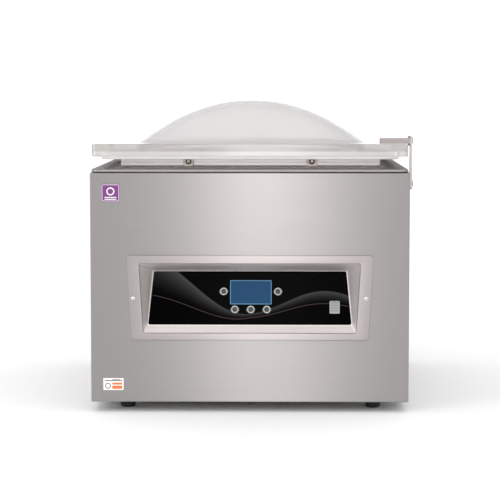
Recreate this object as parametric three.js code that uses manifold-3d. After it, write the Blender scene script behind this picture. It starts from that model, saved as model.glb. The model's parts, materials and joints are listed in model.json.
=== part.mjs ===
// Table-top chamber vacuum packing machine.
// Millimetres, +Z up, +X to the right of a person facing the machine, front towards -Y.
// The origin is on the ground under the middle of the machine's bounding box.

import * as THREE from 'three';
import { mergeVertices } from 'three/addons/utils/BufferGeometryUtils.js';
import { ConvexGeometry } from 'three/addons/geometries/ConvexGeometry.js';
import Module from 'manifold-3d';

// ---------------------------------------------------------------- driving dimensions

const GAP = 0.3; // air left between pieces that touch in the real machine

// cabinet
const CASE_HALF_W = 255;
const FRONT_Y = -290;
const REAR_Y = 285;
const SHEET = 1.5;
const PANEL_LOW = 16.5;
const PANEL_TOP = 385;
const FRONT_RETURN = 14; // how far the front panel folds back along each side
const DECK_LOW = 386.5;
const DECK_TOP = 391;
const DECK_HALF_W = 252.8;
const DECK_CORNER = 10;

// feet
const FOOT_X = 200;
const FOOT_FRONT_Y = FRONT_Y + 55;
const FOOT_REAR_Y = REAR_Y - 55;
const FOOT_R = 13.5;

// rear panel: ventilation slots, power inlet and switch
const VENT_CENTRES = [-105, 105];
const VENT_COUNT = 9;
const VENT_PITCH = 12;
const VENT_HALF_W = 2;
const VENT_LOW = 190;
const VENT_TOP = 245;
const INLET_X = -190;
const SWITCH_X = -146;
const REAR_FITTING_Z = 72;
const INLET_PROUD = 2.5;
const ROCKER_PIVOT_Y = REAR_Y - 5;
const ROCKER_TILT_DEG = 8; // the upper half is pressed in at rest
const ROCKER_HALF_W = 8;

// chamber
const CHAMBER_HALF_W = 221;
const CHAMBER_FRONT_Y = -240;
const CHAMBER_REAR_Y = 204;
const CHAMBER_CORNER = 12;
const CHAMBER_FLOOR = 283;
const TANK_WALL = 2;
const TANK_LIP = 12; // width of the flange under the deck
const PORT_Z = 322;
const PORT_R = 16;
const PORT_CAP_R = 24;
const PORT_HOLE_R = 2.4;
const PORT_HOLE_CIRCLE = 9;

// seal bar and its lift
const BAR_Y = -214;
const SEAL_BAR_HALF_L = 205;
const SEAL_BAR_W = 16;
const SEAL_BAR_LOW = 340;
const SEAL_BAR_TOP = 369.5;
const LIFT_X = 150;
const LIFT_R = 20;
const LIFT_TOP = 334;
const LIFT_BORE_LOW = CHAMBER_FLOOR + 18;
const POST_R = 6;
const BAND_HALF_W = 4.5;
const BAND_T = 1.2;

// lid, drawn closed and then opened by LID_REST_DEG about the hinge
const LID_REST_DEG = 1.5;
const HINGE_Y = 276.5;
const HINGE_Z = 404;
const LID_HALF_W = 252.5;
const LID_REAR_Y = 267;
const LID_LOW = 396;
const LID_TOP = 416;
const LID_CORNER = 8;
const GROOVE_DEPTH = 8; // groove in the lid's underside that holds the gasket
const DOME_HALF_W = 195;
const DOME_FRONT_Y = -207;
const DOME_REAR_Y = 191;
const DOME_RISE = 75;
const DOME_POWER = 2.08; // how the dome falls from its crown to its rim
const DOME_SQUARENESS = 3; // exponent of the superellipse that is the dome's plan
const DOME_WALL = 6;
const GASKET_HALF_W = 240;
const GASKET_REAR_Y = 238;
const GASKET_W = 10;

// counter bar under the lid
const COUNTER_HALF_L = 210;
const COUNTER_W = 24;
const COUNTER_LOW = 381.8;
const SILICONE_LOW = 379;
const COUNTER_SILICONE_W = 16;
const HOLDER_X = 100;
const HOLDER_HALF_W = 8.5;
const HOLDER_T = 7;
const HOLDER_TOP = 393;
const HOLDER_BOLT_Z = 388;

// hinges
const HINGE_X = 150;
const EAR_OFFSET = 22;
const EAR_T = 4;
const EAR_R = 8;
const PIN_R = 3;
const PIN_HEAD_R = 5;
const KNUCKLE_R = 7.5;
const SPRING_R = 4.8;
const SPRING_PITCH = 2.4;
const SPRING_TURNS = 4.4;
const SPRING_WIRE_R = 0.9;

// latch on the right-hand side
const LATCH_Y = -210;
const LATCH_PIVOT_Z = 421.3; // with the lid closed
const STRAP_X = 259.8;
const STRAP_T = 3.6;
const STUD_Z = 363.5;
const STUD_R = 2.5;
const STUD_BEHIND = 11.2; // the stud stands this far behind the strap's pivot
const STUD_REACH = 10.9; // from the cabinet's side to the end of its head

// control recess: a tapered opening in the front with a tilted panel at its back
const BEZEL_T = 2.2;
const BEZEL_OUTLINE = [[-189.5, 117], [190.5, 117], [198.5, 253], [-197, 253]];
const BEZEL_SCREW_X = 186.5;
const BEZEL_SCREW_Z = 184;
const TRAY_WALL = 1.2;
const RECESS_LOW_Z = 128.4;
const RECESS_TOP_Z = 239.5;
const RECESS_LOW_HALF_W = 170;
const RECESS_TOP_HALF_W = 177;
const WINDOW_PLAY = 4; // between the recess and the front panel's cut-out
const PANEL_FOOT_Y = FRONT_Y + 10;
const PANEL_HEAD_Y = FRONT_Y + 35;
const PANEL_FOOT_Z = 139.8;
const PANEL_HEAD_Z = 224.6;
const PANEL_FOOT_HALF_W = 164;
const PANEL_HEAD_HALF_W = 156;
const PANEL_T = 4;
const PANEL_PLAY = 0.4; // between the panel's edge and the tray round it
const BUTTON_R = 6.7;
const BUTTON_PROUD = 1.4;
const DISPLAY_X = 1.5;
const DISPLAY_Z = 191.2;
const DISPLAY_HALF_W = 33.5;
const DISPLAY_HALF_H = 19.8;
const DISPLAY_PROUD = 0.5;

// drive unit in the bottom of the cabinet
const DRIVE_Y = 40;
const DRIVE_Z = 118;
const BASE_LOW = 18.5;
const BASE_TOP = 20.5;
const MOTOR_R = 66;
const MOTOR_BORE_R = 56;
const ROTOR_R = 52;
const ROTOR_MIDDLE_X = 32;
const SHAFT_R = 9;
const FAN_COVER_R = 70;
const SIGHT_GLASS_R = 14;
const SIGHT_GLASS_Z = 85;
const VALVE_Y = CHAMBER_REAR_Y + 24;
const HOSE_R = 11;

// ---------------------------------------------------------------- materials

function finish(color, roughness, metalness) {
  return new THREE.MeshStandardMaterial({ color, roughness, metalness });
}

const steel = finish(0xc9c5c2, 0.35, 1.0);
const satinSteel = finish(0xd6d0ce, 0.3, 1.0);
const zinc = finish(0x9fa3a6, 0.45, 0.9);
const aluminium = finish(0xc8cacb, 0.35, 1.0);
const castGrey = finish(0x6d7479, 0.6, 0.6);
const rubber = finish(0x1b1b1c, 0.85, 0.0);
const silicone = finish(0xf0efec, 0.6, 0.0);
const clearAcrylic = finish(0xe4e4e8, 0.08, 0.0);
const blackGloss = finish(0x0c0c0e, 0.12, 0.0);
const blackPlastic = finish(0x202122, 0.5, 0.0);
const displayBlue = finish(0x2d5f91, 0.15, 0.0);
const buttonMetal = finish(0xb9bcc0, 0.3, 0.8);
const plum = finish(0x7a2a7c, 0.4, 0.1);
const labelWhite = finish(0xf2efe9, 0.6, 0.0);
const tapeBrown = finish(0xb59a6a, 0.5, 0.0);
const copper = finish(0xb87440, 0.4, 0.9);
const boardGreen = finish(0x1f6b3d, 0.55, 0.0);
const hoseBlack = finish(0x2a2b2d, 0.6, 0.0);
const oilGlass = finish(0xd9b154, 0.1, 0.0);

// ---------------------------------------------------------------- solids

const wasm = await Module();
wasm.setup();

// A closed three.js geometry as a solid whose faces point out.
function solid(geometry) {
  const bare = new THREE.BufferGeometry();
  const source = geometry.index ? geometry.toNonIndexed() : geometry;
  bare.setAttribute('position', source.getAttribute('position').clone());
  const merged = mergeVertices(bare, 1e-4);
  const index = merged.index.array;
  const place = merged.getAttribute('position');
  const triangles = [];
  const a = new THREE.Vector3();
  const b = new THREE.Vector3();
  const c = new THREE.Vector3();
  let volume = 0;
  for (let i = 0; i < index.length; i += 3) {
    const [p, q, r] = [index[i], index[i + 1], index[i + 2]];
    if (p === q || q === r || r === p) continue;
    triangles.push(p, q, r);
    a.fromBufferAttribute(place, p);
    b.fromBufferAttribute(place, q);
    c.fromBufferAttribute(place, r);
    volume += a.dot(b.cross(c));
  }
  if (volume < 0) triangles.reverse();
  return new wasm.Manifold(new wasm.Mesh({
    numProp: 3,
    vertProperties: new Float32Array(place.array),
    triVerts: new Uint32Array(triangles),
  }));
}

function block([x0, y0, z0], [x1, y1, z1]) {
  const geometry = new THREE.BoxGeometry(x1 - x0, y1 - y0, z1 - z0);
  return solid(geometry.translate((x0 + x1) / 2, (y0 + y1) / 2, (z0 + z1) / 2));
}

// A flat outline (x, y) pulled up from z0 to z1.
function upright(shape, z0, z1, curveSegments = 5) {
  const geometry = new THREE.ExtrudeGeometry(shape, { depth: z1 - z0, bevelEnabled: false, curveSegments });
  return solid(geometry.translate(0, 0, z0));
}

// An outline (y, z) pulled along X from x0 to x1.
function alongX(shape, x0, x1, curveSegments = 5) {
  const geometry = new THREE.ExtrudeGeometry(shape, { depth: x1 - x0, bevelEnabled: false, curveSegments });
  const turn = new THREE.Matrix4().makeBasis(
    new THREE.Vector3(0, 1, 0),
    new THREE.Vector3(0, 0, 1),
    new THREE.Vector3(1, 0, 0),
  );
  return solid(geometry.applyMatrix4(turn).translate(x0, 0, 0));
}

// An outline (x, z) pulled along Y from y0 to y1.
function alongY(shape, y0, y1, curveSegments = 5) {
  const geometry = new THREE.ExtrudeGeometry(shape, { depth: y1 - y0, bevelEnabled: false, curveSegments });
  const turn = new THREE.Matrix4().makeBasis(
    new THREE.Vector3(1, 0, 0),
    new THREE.Vector3(0, 0, 1),
    new THREE.Vector3(0, -1, 0),
  );
  return solid(geometry.applyMatrix4(turn).translate(0, y1, 0));
}

// A round bar along X, Y or Z, centred on its middle point.
function bar(axis, radius, length, [x, y, z], segments = 16) {
  const geometry = new THREE.CylinderGeometry(radius, radius, length, segments);
  if (axis === 'x') geometry.rotateZ(Math.PI / 2);
  if (axis === 'z') geometry.rotateX(Math.PI / 2);
  return solid(geometry.translate(x, y, z));
}

// A turned piece about the Z axis from [radius, height] points.
function turned(profile, segments = 20) {
  const points = profile.map(([r, z]) => new THREE.Vector2(r, z));
  return solid(new THREE.LatheGeometry(points, segments).rotateX(Math.PI / 2));
}

function roundedRect(x0, x1, y0, y1, r) {
  return roundedOutline([[x0, y0], [x1, y0], [x1, y1], [x0, y1]], r);
}

function rectAround(x, y, halfW, halfH, r) {
  return roundedRect(x - halfW, x + halfW, y - halfH, y + halfH, r);
}

// A closed polygon with every corner rounded, starting r away from its first corner.
function roundedOutline(corners, r) {
  const shape = new THREE.Shape();
  const count = corners.length;
  for (let i = 0; i < count; i += 1) {
    const here = new THREE.Vector2(...corners[i]);
    const before = new THREE.Vector2(...corners[(i + count - 1) % count]);
    const after = new THREE.Vector2(...corners[(i + 1) % count]);
    const arrive = before.sub(here).setLength(r).add(here);
    const leave = after.sub(here).setLength(r).add(here);
    if (i === 0) shape.moveTo(arrive.x, arrive.y);
    else shape.lineTo(arrive.x, arrive.y);
    shape.quadraticCurveTo(here.x, here.y, leave.x, leave.y);
  }
  shape.closePath();
  return shape;
}

function outline(corners) {
  return new THREE.Shape(corners.map(([x, y]) => new THREE.Vector2(x, y)));
}

const machine = new THREE.Group();

function piece(parent, name, shape, material) {
  const mesh = shape.getMesh();
  const geometry = new THREE.BufferGeometry();
  geometry.setAttribute('position', new THREE.BufferAttribute(mesh.vertProperties, 3));
  geometry.setIndex(new THREE.BufferAttribute(mesh.triVerts, 1));
  geometry.computeVertexNormals();
  const node = new THREE.Mesh(geometry, material);
  node.name = name;
  parent.add(node);
  return node;
}

const SIDES = [['left', -1], ['right', 1]];

// ---------------------------------------------------------------- cabinet

const SLOPE_ANGLE = Math.atan2(PANEL_HEAD_Y - PANEL_FOOT_Y, PANEL_HEAD_Z - PANEL_FOOT_Z);
const PANEL_H = Math.hypot(PANEL_HEAD_Y - PANEL_FOOT_Y, PANEL_HEAD_Z - PANEL_FOOT_Z);

// The tapered space of the control recess, grown by a margin all round. It narrows from the front to
// the face of the tilted panel, and runs on square to that panel for the stretch called beyond.
function recess(margin, frontY, beyond) {
  const points = [];
  const backY = beyond * Math.cos(SLOPE_ANGLE);
  const backZ = -beyond * Math.sin(SLOPE_ANGLE);
  for (const side of [-1, 1]) {
    points.push(new THREE.Vector3(side * (RECESS_LOW_HALF_W + margin), frontY, RECESS_LOW_Z - margin));
    points.push(new THREE.Vector3(side * (RECESS_TOP_HALF_W + margin), frontY, RECESS_TOP_Z + margin));
    const footX = side * (PANEL_FOOT_HALF_W + margin);
    const headX = side * (PANEL_HEAD_HALF_W + margin);
    const foot = new THREE.Vector3(footX, PANEL_FOOT_Y, PANEL_FOOT_Z - margin);
    const head = new THREE.Vector3(headX, PANEL_HEAD_Y, PANEL_HEAD_Z + margin);
    points.push(foot, foot.clone().add(new THREE.Vector3(0, backY, backZ)));
    points.push(head, head.clone().add(new THREE.Vector3(0, backY, backZ)));
  }
  return solid(new ConvexGeometry(points));
}

function frontPanel() {
  const outer = block([-CASE_HALF_W, FRONT_Y, PANEL_LOW], [CASE_HALF_W, FRONT_Y + FRONT_RETURN, PANEL_TOP]);
  const inner = block(
    [-CASE_HALF_W + SHEET, FRONT_Y + SHEET, PANEL_LOW + SHEET],
    [CASE_HALF_W - SHEET, FRONT_Y + FRONT_RETURN + 1, PANEL_TOP - SHEET],
  );
  const window = alongY(outline([
    [-RECESS_LOW_HALF_W - WINDOW_PLAY, RECESS_LOW_Z - WINDOW_PLAY],
    [RECESS_LOW_HALF_W + WINDOW_PLAY, RECESS_LOW_Z - WINDOW_PLAY],
    [RECESS_TOP_HALF_W + WINDOW_PLAY, RECESS_TOP_Z + WINDOW_PLAY],
    [-RECESS_TOP_HALF_W - WINDOW_PLAY, RECESS_TOP_Z + WINDOW_PLAY],
  ]), FRONT_Y - 1, FRONT_Y + SHEET + 1);
  return outer.subtract(inner).subtract(window);
}

function sidePanel(side) {
  const inside = side * (CASE_HALF_W - SHEET);
  const outside = side * CASE_HALF_W;
  return block(
    [Math.min(inside, outside), FRONT_Y + FRONT_RETURN + GAP, PANEL_LOW],
    [Math.max(inside, outside), REAR_Y - SHEET - GAP, PANEL_TOP],
  );
}

function rearPanel() {
  let panel = block([-CASE_HALF_W, REAR_Y - SHEET, PANEL_LOW], [CASE_HALF_W, REAR_Y, PANEL_TOP]);
  for (const centre of VENT_CENTRES) {
    for (let i = 0; i < VENT_COUNT; i += 1) {
      const x = centre + (i - (VENT_COUNT - 1) / 2) * VENT_PITCH;
      const slot = roundedRect(x - VENT_HALF_W, x + VENT_HALF_W, VENT_LOW, VENT_TOP, 1.9);
      panel = panel.subtract(alongY(slot, REAR_Y - SHEET - 1, REAR_Y + 1, 2));
    }
  }
  const inletHole = block(
    [INLET_X - 14, REAR_Y - 3, REAR_FITTING_Z - 10.5],
    [INLET_X + 14, REAR_Y + 1, REAR_FITTING_Z + 10.5],
  );
  const switchHole = block(
    [SWITCH_X - 10.5, REAR_Y - 3, REAR_FITTING_Z - 14],
    [SWITCH_X + 10.5, REAR_Y + 1, REAR_FITTING_Z + 14],
  );
  return panel.subtract(inletHole).subtract(switchHole);
}

function deckPlate() {
  const plan = roundedRect(-DECK_HALF_W, DECK_HALF_W, FRONT_Y, REAR_Y, DECK_CORNER);
  const under = block(
    [-DECK_HALF_W + 3, FRONT_Y + 3, DECK_LOW - 1],
    [DECK_HALF_W - 3, REAR_Y - 3, DECK_TOP - SHEET],
  );
  const mouth = upright(
    roundedRect(-CHAMBER_HALF_W, CHAMBER_HALF_W, CHAMBER_FRONT_Y, CHAMBER_REAR_Y, CHAMBER_CORNER),
    DECK_LOW - 1,
    DECK_TOP + 1,
  );
  return upright(plan, DECK_LOW, DECK_TOP).subtract(under).subtract(mouth);
}

function foot() {
  return turned([
    [0, 0],
    [9, 0],
    [11.3, 1],
    [12.2, 3],
    [FOOT_R, PANEL_LOW - 2],
    [FOOT_R - 0.5, PANEL_LOW - GAP],
    [7, PANEL_LOW - GAP],
    [7, BASE_LOW - GAP],
    [0, BASE_LOW - GAP],
  ], 18);
}

piece(machine, 'front_panel', frontPanel(), steel);
for (const [word, side] of SIDES) piece(machine, `${word}_side_panel`, sidePanel(side), steel);
piece(machine, 'rear_panel', rearPanel(), steel);
piece(machine, 'base_plate', block(
  [-CASE_HALF_W + SHEET + GAP, FRONT_Y + SHEET + GAP, BASE_LOW],
  [CASE_HALF_W - SHEET - GAP, REAR_Y - SHEET - GAP, BASE_TOP],
), zinc);
piece(machine, 'deck_plate', deckPlate(), satinSteel);
for (const [word, side] of SIDES) {
  for (const [end, y] of [['front', FOOT_FRONT_Y], ['rear', FOOT_REAR_Y]]) {
    piece(machine, `foot_${end}_${word}`, foot(), rubber).position.set(side * FOOT_X, y, 0);
  }
}

// ---------------------------------------------------------------- chamber and seal bar

function chamberTank() {
  const room = roundedRect(
    -CHAMBER_HALF_W + 1,
    CHAMBER_HALF_W - 1,
    CHAMBER_FRONT_Y + 1,
    CHAMBER_REAR_Y - 1,
    CHAMBER_CORNER,
  );
  const walls = roundedRect(
    -CHAMBER_HALF_W - TANK_WALL + 1,
    CHAMBER_HALF_W + TANK_WALL - 1,
    CHAMBER_FRONT_Y - TANK_WALL + 1,
    CHAMBER_REAR_Y + TANK_WALL - 1,
    CHAMBER_CORNER + TANK_WALL,
  );
  const lip = roundedRect(
    -CHAMBER_HALF_W - TANK_LIP,
    CHAMBER_HALF_W + TANK_LIP,
    CHAMBER_FRONT_Y - TANK_LIP,
    CHAMBER_REAR_Y + TANK_LIP,
    CHAMBER_CORNER + TANK_LIP,
  );
  const lipTop = DECK_TOP - SHEET - GAP;
  const port = bar('y', PORT_R + 0.5, 20, [0, CHAMBER_REAR_Y, PORT_Z]);
  return upright(walls, CHAMBER_FLOOR - TANK_WALL, lipTop)
    .add(upright(lip, lipTop - TANK_WALL, lipTop))
    .subtract(upright(room, CHAMBER_FLOOR, lipTop + 1))
    .subtract(port);
}

// The perforated cap over the suction port in the rear wall of the chamber.
function portGrille() {
  const wallY = CHAMBER_REAR_Y - 1;
  let cap = bar('y', PORT_CAP_R, 3, [0, wallY - 1.5 - GAP, PORT_Z], 28);
  cap = cap.add(bar('y', PORT_R, 14, [0, wallY + 4, PORT_Z], 24));
  cap = cap.subtract(bar('y', PORT_R - 2, 30, [0, wallY + 17, PORT_Z], 24));
  for (let i = 0; i < 6; i += 1) {
    const angle = (i * Math.PI) / 3;
    const x = PORT_HOLE_CIRCLE * Math.cos(angle);
    const z = PORT_Z + PORT_HOLE_CIRCLE * Math.sin(angle);
    cap = cap.subtract(bar('y', PORT_HOLE_R, 20, [x, wallY, z], 8));
  }
  return cap;
}

function liftCylinder() {
  return turned([
    [0, CHAMBER_FLOOR + GAP],
    [LIFT_R, CHAMBER_FLOOR + GAP],
    [LIFT_R, LIFT_TOP - 8],
    [LIFT_R - 6, LIFT_TOP],
    [POST_R + 0.6, LIFT_TOP],
    [POST_R + 0.6, LIFT_BORE_LOW],
    [0, LIFT_BORE_LOW],
  ], 24);
}

// A bar with a narrower head that carries the heating band, on two posts.
function sealBar() {
  const half = SEAL_BAR_W / 2;
  const head = half - 2.5;
  let shape = alongX(outline([
    [BAR_Y - half, SEAL_BAR_LOW],
    [BAR_Y + half, SEAL_BAR_LOW],
    [BAR_Y + half, SEAL_BAR_TOP - 7],
    [BAR_Y + head, SEAL_BAR_TOP - 5],
    [BAR_Y + head, SEAL_BAR_TOP],
    [BAR_Y - head, SEAL_BAR_TOP],
    [BAR_Y - head, SEAL_BAR_TOP - 5],
    [BAR_Y - half, SEAL_BAR_TOP - 7],
  ]), -SEAL_BAR_HALF_L, SEAL_BAR_HALF_L);
  for (const side of [-1, 1]) {
    shape = shape.add(bar('z', POST_R, 34, [side * LIFT_X, BAR_Y, SEAL_BAR_LOW - 15], 20));
  }
  return shape;
}

piece(machine, 'chamber_tank', chamberTank(), satinSteel);
piece(machine, 'suction_port_cap', portGrille(), satinSteel);
for (const [word, side] of SIDES) {
  const cylinder = piece(machine, `lift_cylinder_${word}`, liftCylinder(), blackPlastic);
  cylinder.position.set(side * LIFT_X, BAR_Y, 0);
}
piece(machine, 'seal_bar', sealBar(), aluminium);
piece(machine, 'heating_band', block(
  [-SEAL_BAR_HALF_L + 6, BAR_Y - BAND_HALF_W, SEAL_BAR_TOP + GAP],
  [SEAL_BAR_HALF_L - 6, BAR_Y + BAND_HALF_W, SEAL_BAR_TOP + GAP + BAND_T],
), tapeBrown);

// ---------------------------------------------------------------- control recess

function controlBezel() {
  const flange = alongY(roundedOutline(BEZEL_OUTLINE, 6), FRONT_Y - BEZEL_T, FRONT_Y - GAP);
  const tray = recess(TRAY_WALL, FRONT_Y - 1, PANEL_T);
  return flange.add(tray).subtract(recess(0, FRONT_Y - BEZEL_T - 1, PANEL_T + 2));
}

piece(machine, 'control_bezel', controlBezel(), satinSteel);
for (const [word, side] of SIDES) {
  const screw = turned([[0, 0], [3.4, 0], [3.2, 0.9], [2.2, 1.7], [0, 2]], 16);
  const node = piece(machine, `bezel_screw_${word}`, screw, zinc);
  node.position.set(side * BEZEL_SCREW_X, FRONT_Y - BEZEL_T - GAP, BEZEL_SCREW_Z);
  node.rotation.x = Math.PI / 2;
}

// The tilted panel's own frame: X across, Z up the slope, -Y out of its face.
const slope = new THREE.Group();
slope.position.set(0, PANEL_FOOT_Y, PANEL_FOOT_Z);
slope.rotation.x = -SLOPE_ANGLE;
machine.add(slope);

// Height up the slope of a point that stands at height z in the machine.
function upSlope(z) {
  return (z - PANEL_FOOT_Z) / Math.cos(SLOPE_ANGLE);
}

const DISPLAY_V = upSlope(DISPLAY_Z);
const BUTTONS = [
  ['button_left', DISPLAY_X - 43.7, upSlope(192.5)],
  ['button_right', DISPLAY_X + 43.7, upSlope(192.5)],
  ['button_lower_left', DISPLAY_X - 25.7, upSlope(164.2)],
  ['button_lower_centre', DISPLAY_X, upSlope(164.2)],
  ['button_lower_right', DISPLAY_X + 25.7, upSlope(164.2)],
];

function controlPanel() {
  let plate = alongY(roundedOutline([
    [-PANEL_FOOT_HALF_W + PANEL_PLAY, PANEL_PLAY],
    [PANEL_FOOT_HALF_W - PANEL_PLAY, PANEL_PLAY],
    [PANEL_HEAD_HALF_W - PANEL_PLAY, PANEL_H - PANEL_PLAY],
    [-PANEL_HEAD_HALF_W + PANEL_PLAY, PANEL_H - PANEL_PLAY],
  ], 5), 0, PANEL_T);
  for (const [, x, v] of BUTTONS) {
    plate = plate.subtract(bar('y', BUTTON_R + 0.35, 12, [x, 0, v], 20));
  }
  return plate.subtract(block(
    [DISPLAY_X - DISPLAY_HALF_W - GAP, -1, DISPLAY_V - DISPLAY_HALF_H - GAP],
    [DISPLAY_X + DISPLAY_HALF_W + GAP, 1.5, DISPLAY_V + DISPLAY_HALF_H + GAP],
  ));
}

function button() {
  const shape = turned([
    [0, -BUTTON_PROUD],
    [BUTTON_R - 0.8, -BUTTON_PROUD],
    [BUTTON_R, -0.7],
    [BUTTON_R, PANEL_T + GAP],
    [BUTTON_R + 1.5, PANEL_T + GAP],
    [BUTTON_R + 1.5, PANEL_T + GAP + 1.5],
    [0, PANEL_T + GAP + 1.5],
  ], 24);
  return shape.rotate([-90, 0, 0]);
}

// Circuit board with the display's module in front of it and parts behind it.
function controlBoard() {
  let board = block([-120, 14, 12], [120, 15.6, 78]);
  board = board.add(block([-32, 9, DISPLAY_V - 18], [32, 14.5, DISPLAY_V + 18]));
  board = board.add(block([60, 15, 20], [84, 26, 60]));
  board = board.add(block([-95, 15, 30], [-60, 22, 48]));
  return board.add(bar('y', 7, 14, [100, 22, 60], 14));
}

piece(slope, 'control_panel', controlPanel(), blackGloss);
piece(slope, 'display_window', block(
  [DISPLAY_X - DISPLAY_HALF_W, -DISPLAY_PROUD, DISPLAY_V - DISPLAY_HALF_H],
  [DISPLAY_X + DISPLAY_HALF_W, 1.2, DISPLAY_V + DISPLAY_HALF_H],
), displayBlue);
for (const [name, x, v] of BUTTONS) {
  piece(slope, name, button(), buttonMetal).position.set(x, 0, v);
}
const panelBadge = roundedRect(128.3, 144.7, upSlope(157.8), upSlope(177.8), 1.5);
piece(slope, 'panel_badge', alongY(panelBadge, -1.1, -GAP, 3), aluminium);
piece(slope, 'control_board', controlBoard(), boardGreen);

const frontBadge = roundedRect(-236.5, -207.5, 339, 367, 1.5);
piece(machine, 'front_badge', alongY(frontBadge, FRONT_Y - 1.2, FRONT_Y - GAP, 3), plum);
const infoLabel = roundedRect(-235.3, -202.7, 35.6, 55, 1.5);
piece(machine, 'info_label', alongY(infoLabel, FRONT_Y - 0.6, FRONT_Y - GAP, 3), labelWhite);

// ---------------------------------------------------------------- lid, drawn closed about the hinge axis

const lid = new THREE.Group();
lid.position.set(0, HINGE_Y, HINGE_Z);
lid.rotation.x = -THREE.MathUtils.degToRad(LID_REST_DEG);
machine.add(lid);

function lidPiece(name, shape, material) {
  return piece(lid, name, shape.translate([0, -HINGE_Y, -HINGE_Z]), material);
}

// A crowned form on a superellipse plan: half axes rx and ry, crown height over its rim, foot at z = low.
function crown(rx, ry, rimZ, rise, low) {
  const rings = 8;
  const profile = [new THREE.Vector2(0, rimZ + rise)];
  for (let i = 1; i <= rings; i += 1) {
    const rho = i / rings;
    profile.push(new THREE.Vector2(rho, rimZ + rise * (1 - rho ** DOME_POWER)));
  }
  profile.push(new THREE.Vector2(1, low));
  profile.push(new THREE.Vector2(0, low));
  const geometry = new THREE.LatheGeometry(profile, 40).rotateX(Math.PI / 2);
  const place = geometry.getAttribute('position');
  for (let i = 0; i < place.count; i += 1) {
    const x = place.getX(i);
    const y = place.getY(i);
    const r = Math.hypot(x, y);
    if (r > 0) {
      const cos = Math.abs(x / r) ** DOME_SQUARENESS;
      const sin = Math.abs(y / r) ** DOME_SQUARENESS;
      const reach = (cos + sin) ** (-1 / DOME_SQUARENESS);
      place.setXY(i, x * reach * rx, y * reach * ry);
    }
  }
  return solid(geometry).translate([0, (DOME_FRONT_Y + DOME_REAR_Y) / 2, 0]);
}

function lidDome() {
  const halfDepth = (DOME_REAR_Y - DOME_FRONT_Y) / 2;
  const plan = roundedRect(-LID_HALF_W, LID_HALF_W, FRONT_Y, LID_REAR_Y, LID_CORNER);
  const outside = crown(DOME_HALF_W, halfDepth, LID_TOP, DOME_RISE, LID_LOW + 1);
  const inset = DOME_WALL / 2;
  const inside = crown(DOME_HALF_W - inset, halfDepth - inset, LID_TOP - DOME_WALL, DOME_RISE, LID_LOW - 1);
  const groove = gasketRing(GAP, LID_LOW - 1, LID_LOW + GROOVE_DEPTH);
  return upright(plan, LID_LOW, LID_TOP).add(outside).subtract(inside).subtract(groove);
}

// A ring on the gasket's line, wider than the gasket by a margin on each side.
function gasketRing(margin, low, top) {
  const ringW = GASKET_W + 2 * margin;
  const frontY = FRONT_Y + 13 - margin;
  const rearY = GASKET_REAR_Y + margin;
  const outerW = GASKET_HALF_W + margin;
  const innerW = outerW - ringW;
  const outer = roundedRect(-outerW, outerW, frontY, rearY, 30);
  const inner = roundedRect(-innerW, innerW, frontY + ringW, rearY - ringW, 22);
  return upright(outer, low, top, 6).subtract(upright(inner, low - 1, top + 1, 6));
}

// A block on the front of the counter bar with a collar and a bolt's end.
function counterHolder(side) {
  const face = BAR_Y - COUNTER_W / 2 - GAP;
  const x = side * HOLDER_X;
  const front = face - HOLDER_T;
  const plan = roundedRect(x - HOLDER_HALF_W, x + HOLDER_HALF_W, SILICONE_LOW, HOLDER_TOP, 2);
  return alongY(plan, front, face, 3)
    .add(bar('y', 7.5, 1.6, [x, front - 0.6, HOLDER_BOLT_Z], 20))
    .add(bar('y', 3.6, 3, [x, front - 1.3, HOLDER_BOLT_Z], 16));
}

// The strap's pivot bracket lies across the lid's right edge.
function latchBracket() {
  const front = roundedRect(211, 259.5, LID_TOP + GAP, LID_TOP + 9.7, 1.5);
  const foot = alongY(front, LATCH_Y - 11, LATCH_Y + 11, 3);
  const hollow = block([208, LATCH_Y - 8, LID_TOP + 3.3], [256.5, LATCH_Y + 8, LID_TOP + 12]);
  const cheek = bar('x', 8, 3, [258, LATCH_Y, LATCH_PIVOT_Z], 20);
  const hole = bar('x', PIN_R + GAP, 12, [258, LATCH_Y, LATCH_PIVOT_Z], 16);
  return foot.subtract(hollow).add(cheek).subtract(hole);
}

// Leaf on the lid and a knuckle behind its rear edge.
function hingeArm(side) {
  const x = side * HINGE_X;
  const top = LID_TOP + GAP;
  const leaf = alongX(outline([
    [LID_REAR_Y - 42, top],
    [LID_REAR_Y + GAP, top],
    [LID_REAR_Y + GAP, HINGE_Z],
    [LID_REAR_Y + 4, HINGE_Z - 4],
    [HINGE_Y, HINGE_Z],
    [HINGE_Y + 6, HINGE_Z + 3],
    [HINGE_Y + 2, top + 1],
    [HINGE_Y - 4, top + 3],
    [LID_REAR_Y - 42, top + 3],
  ]), x - 8, x + 8);
  const wide = upright(roundedRect(x - 21, x + 21, LID_REAR_Y - 42, LID_REAR_Y - 2, 3), top, top + 3, 3);
  const knuckle = bar('x', KNUCKLE_R, 16, [x, HINGE_Y, HINGE_Z], 20);
  return leaf.add(wide).add(knuckle).subtract(bar('x', PIN_R + GAP, 40, [x, HINGE_Y, HINGE_Z], 16));
}

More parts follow.
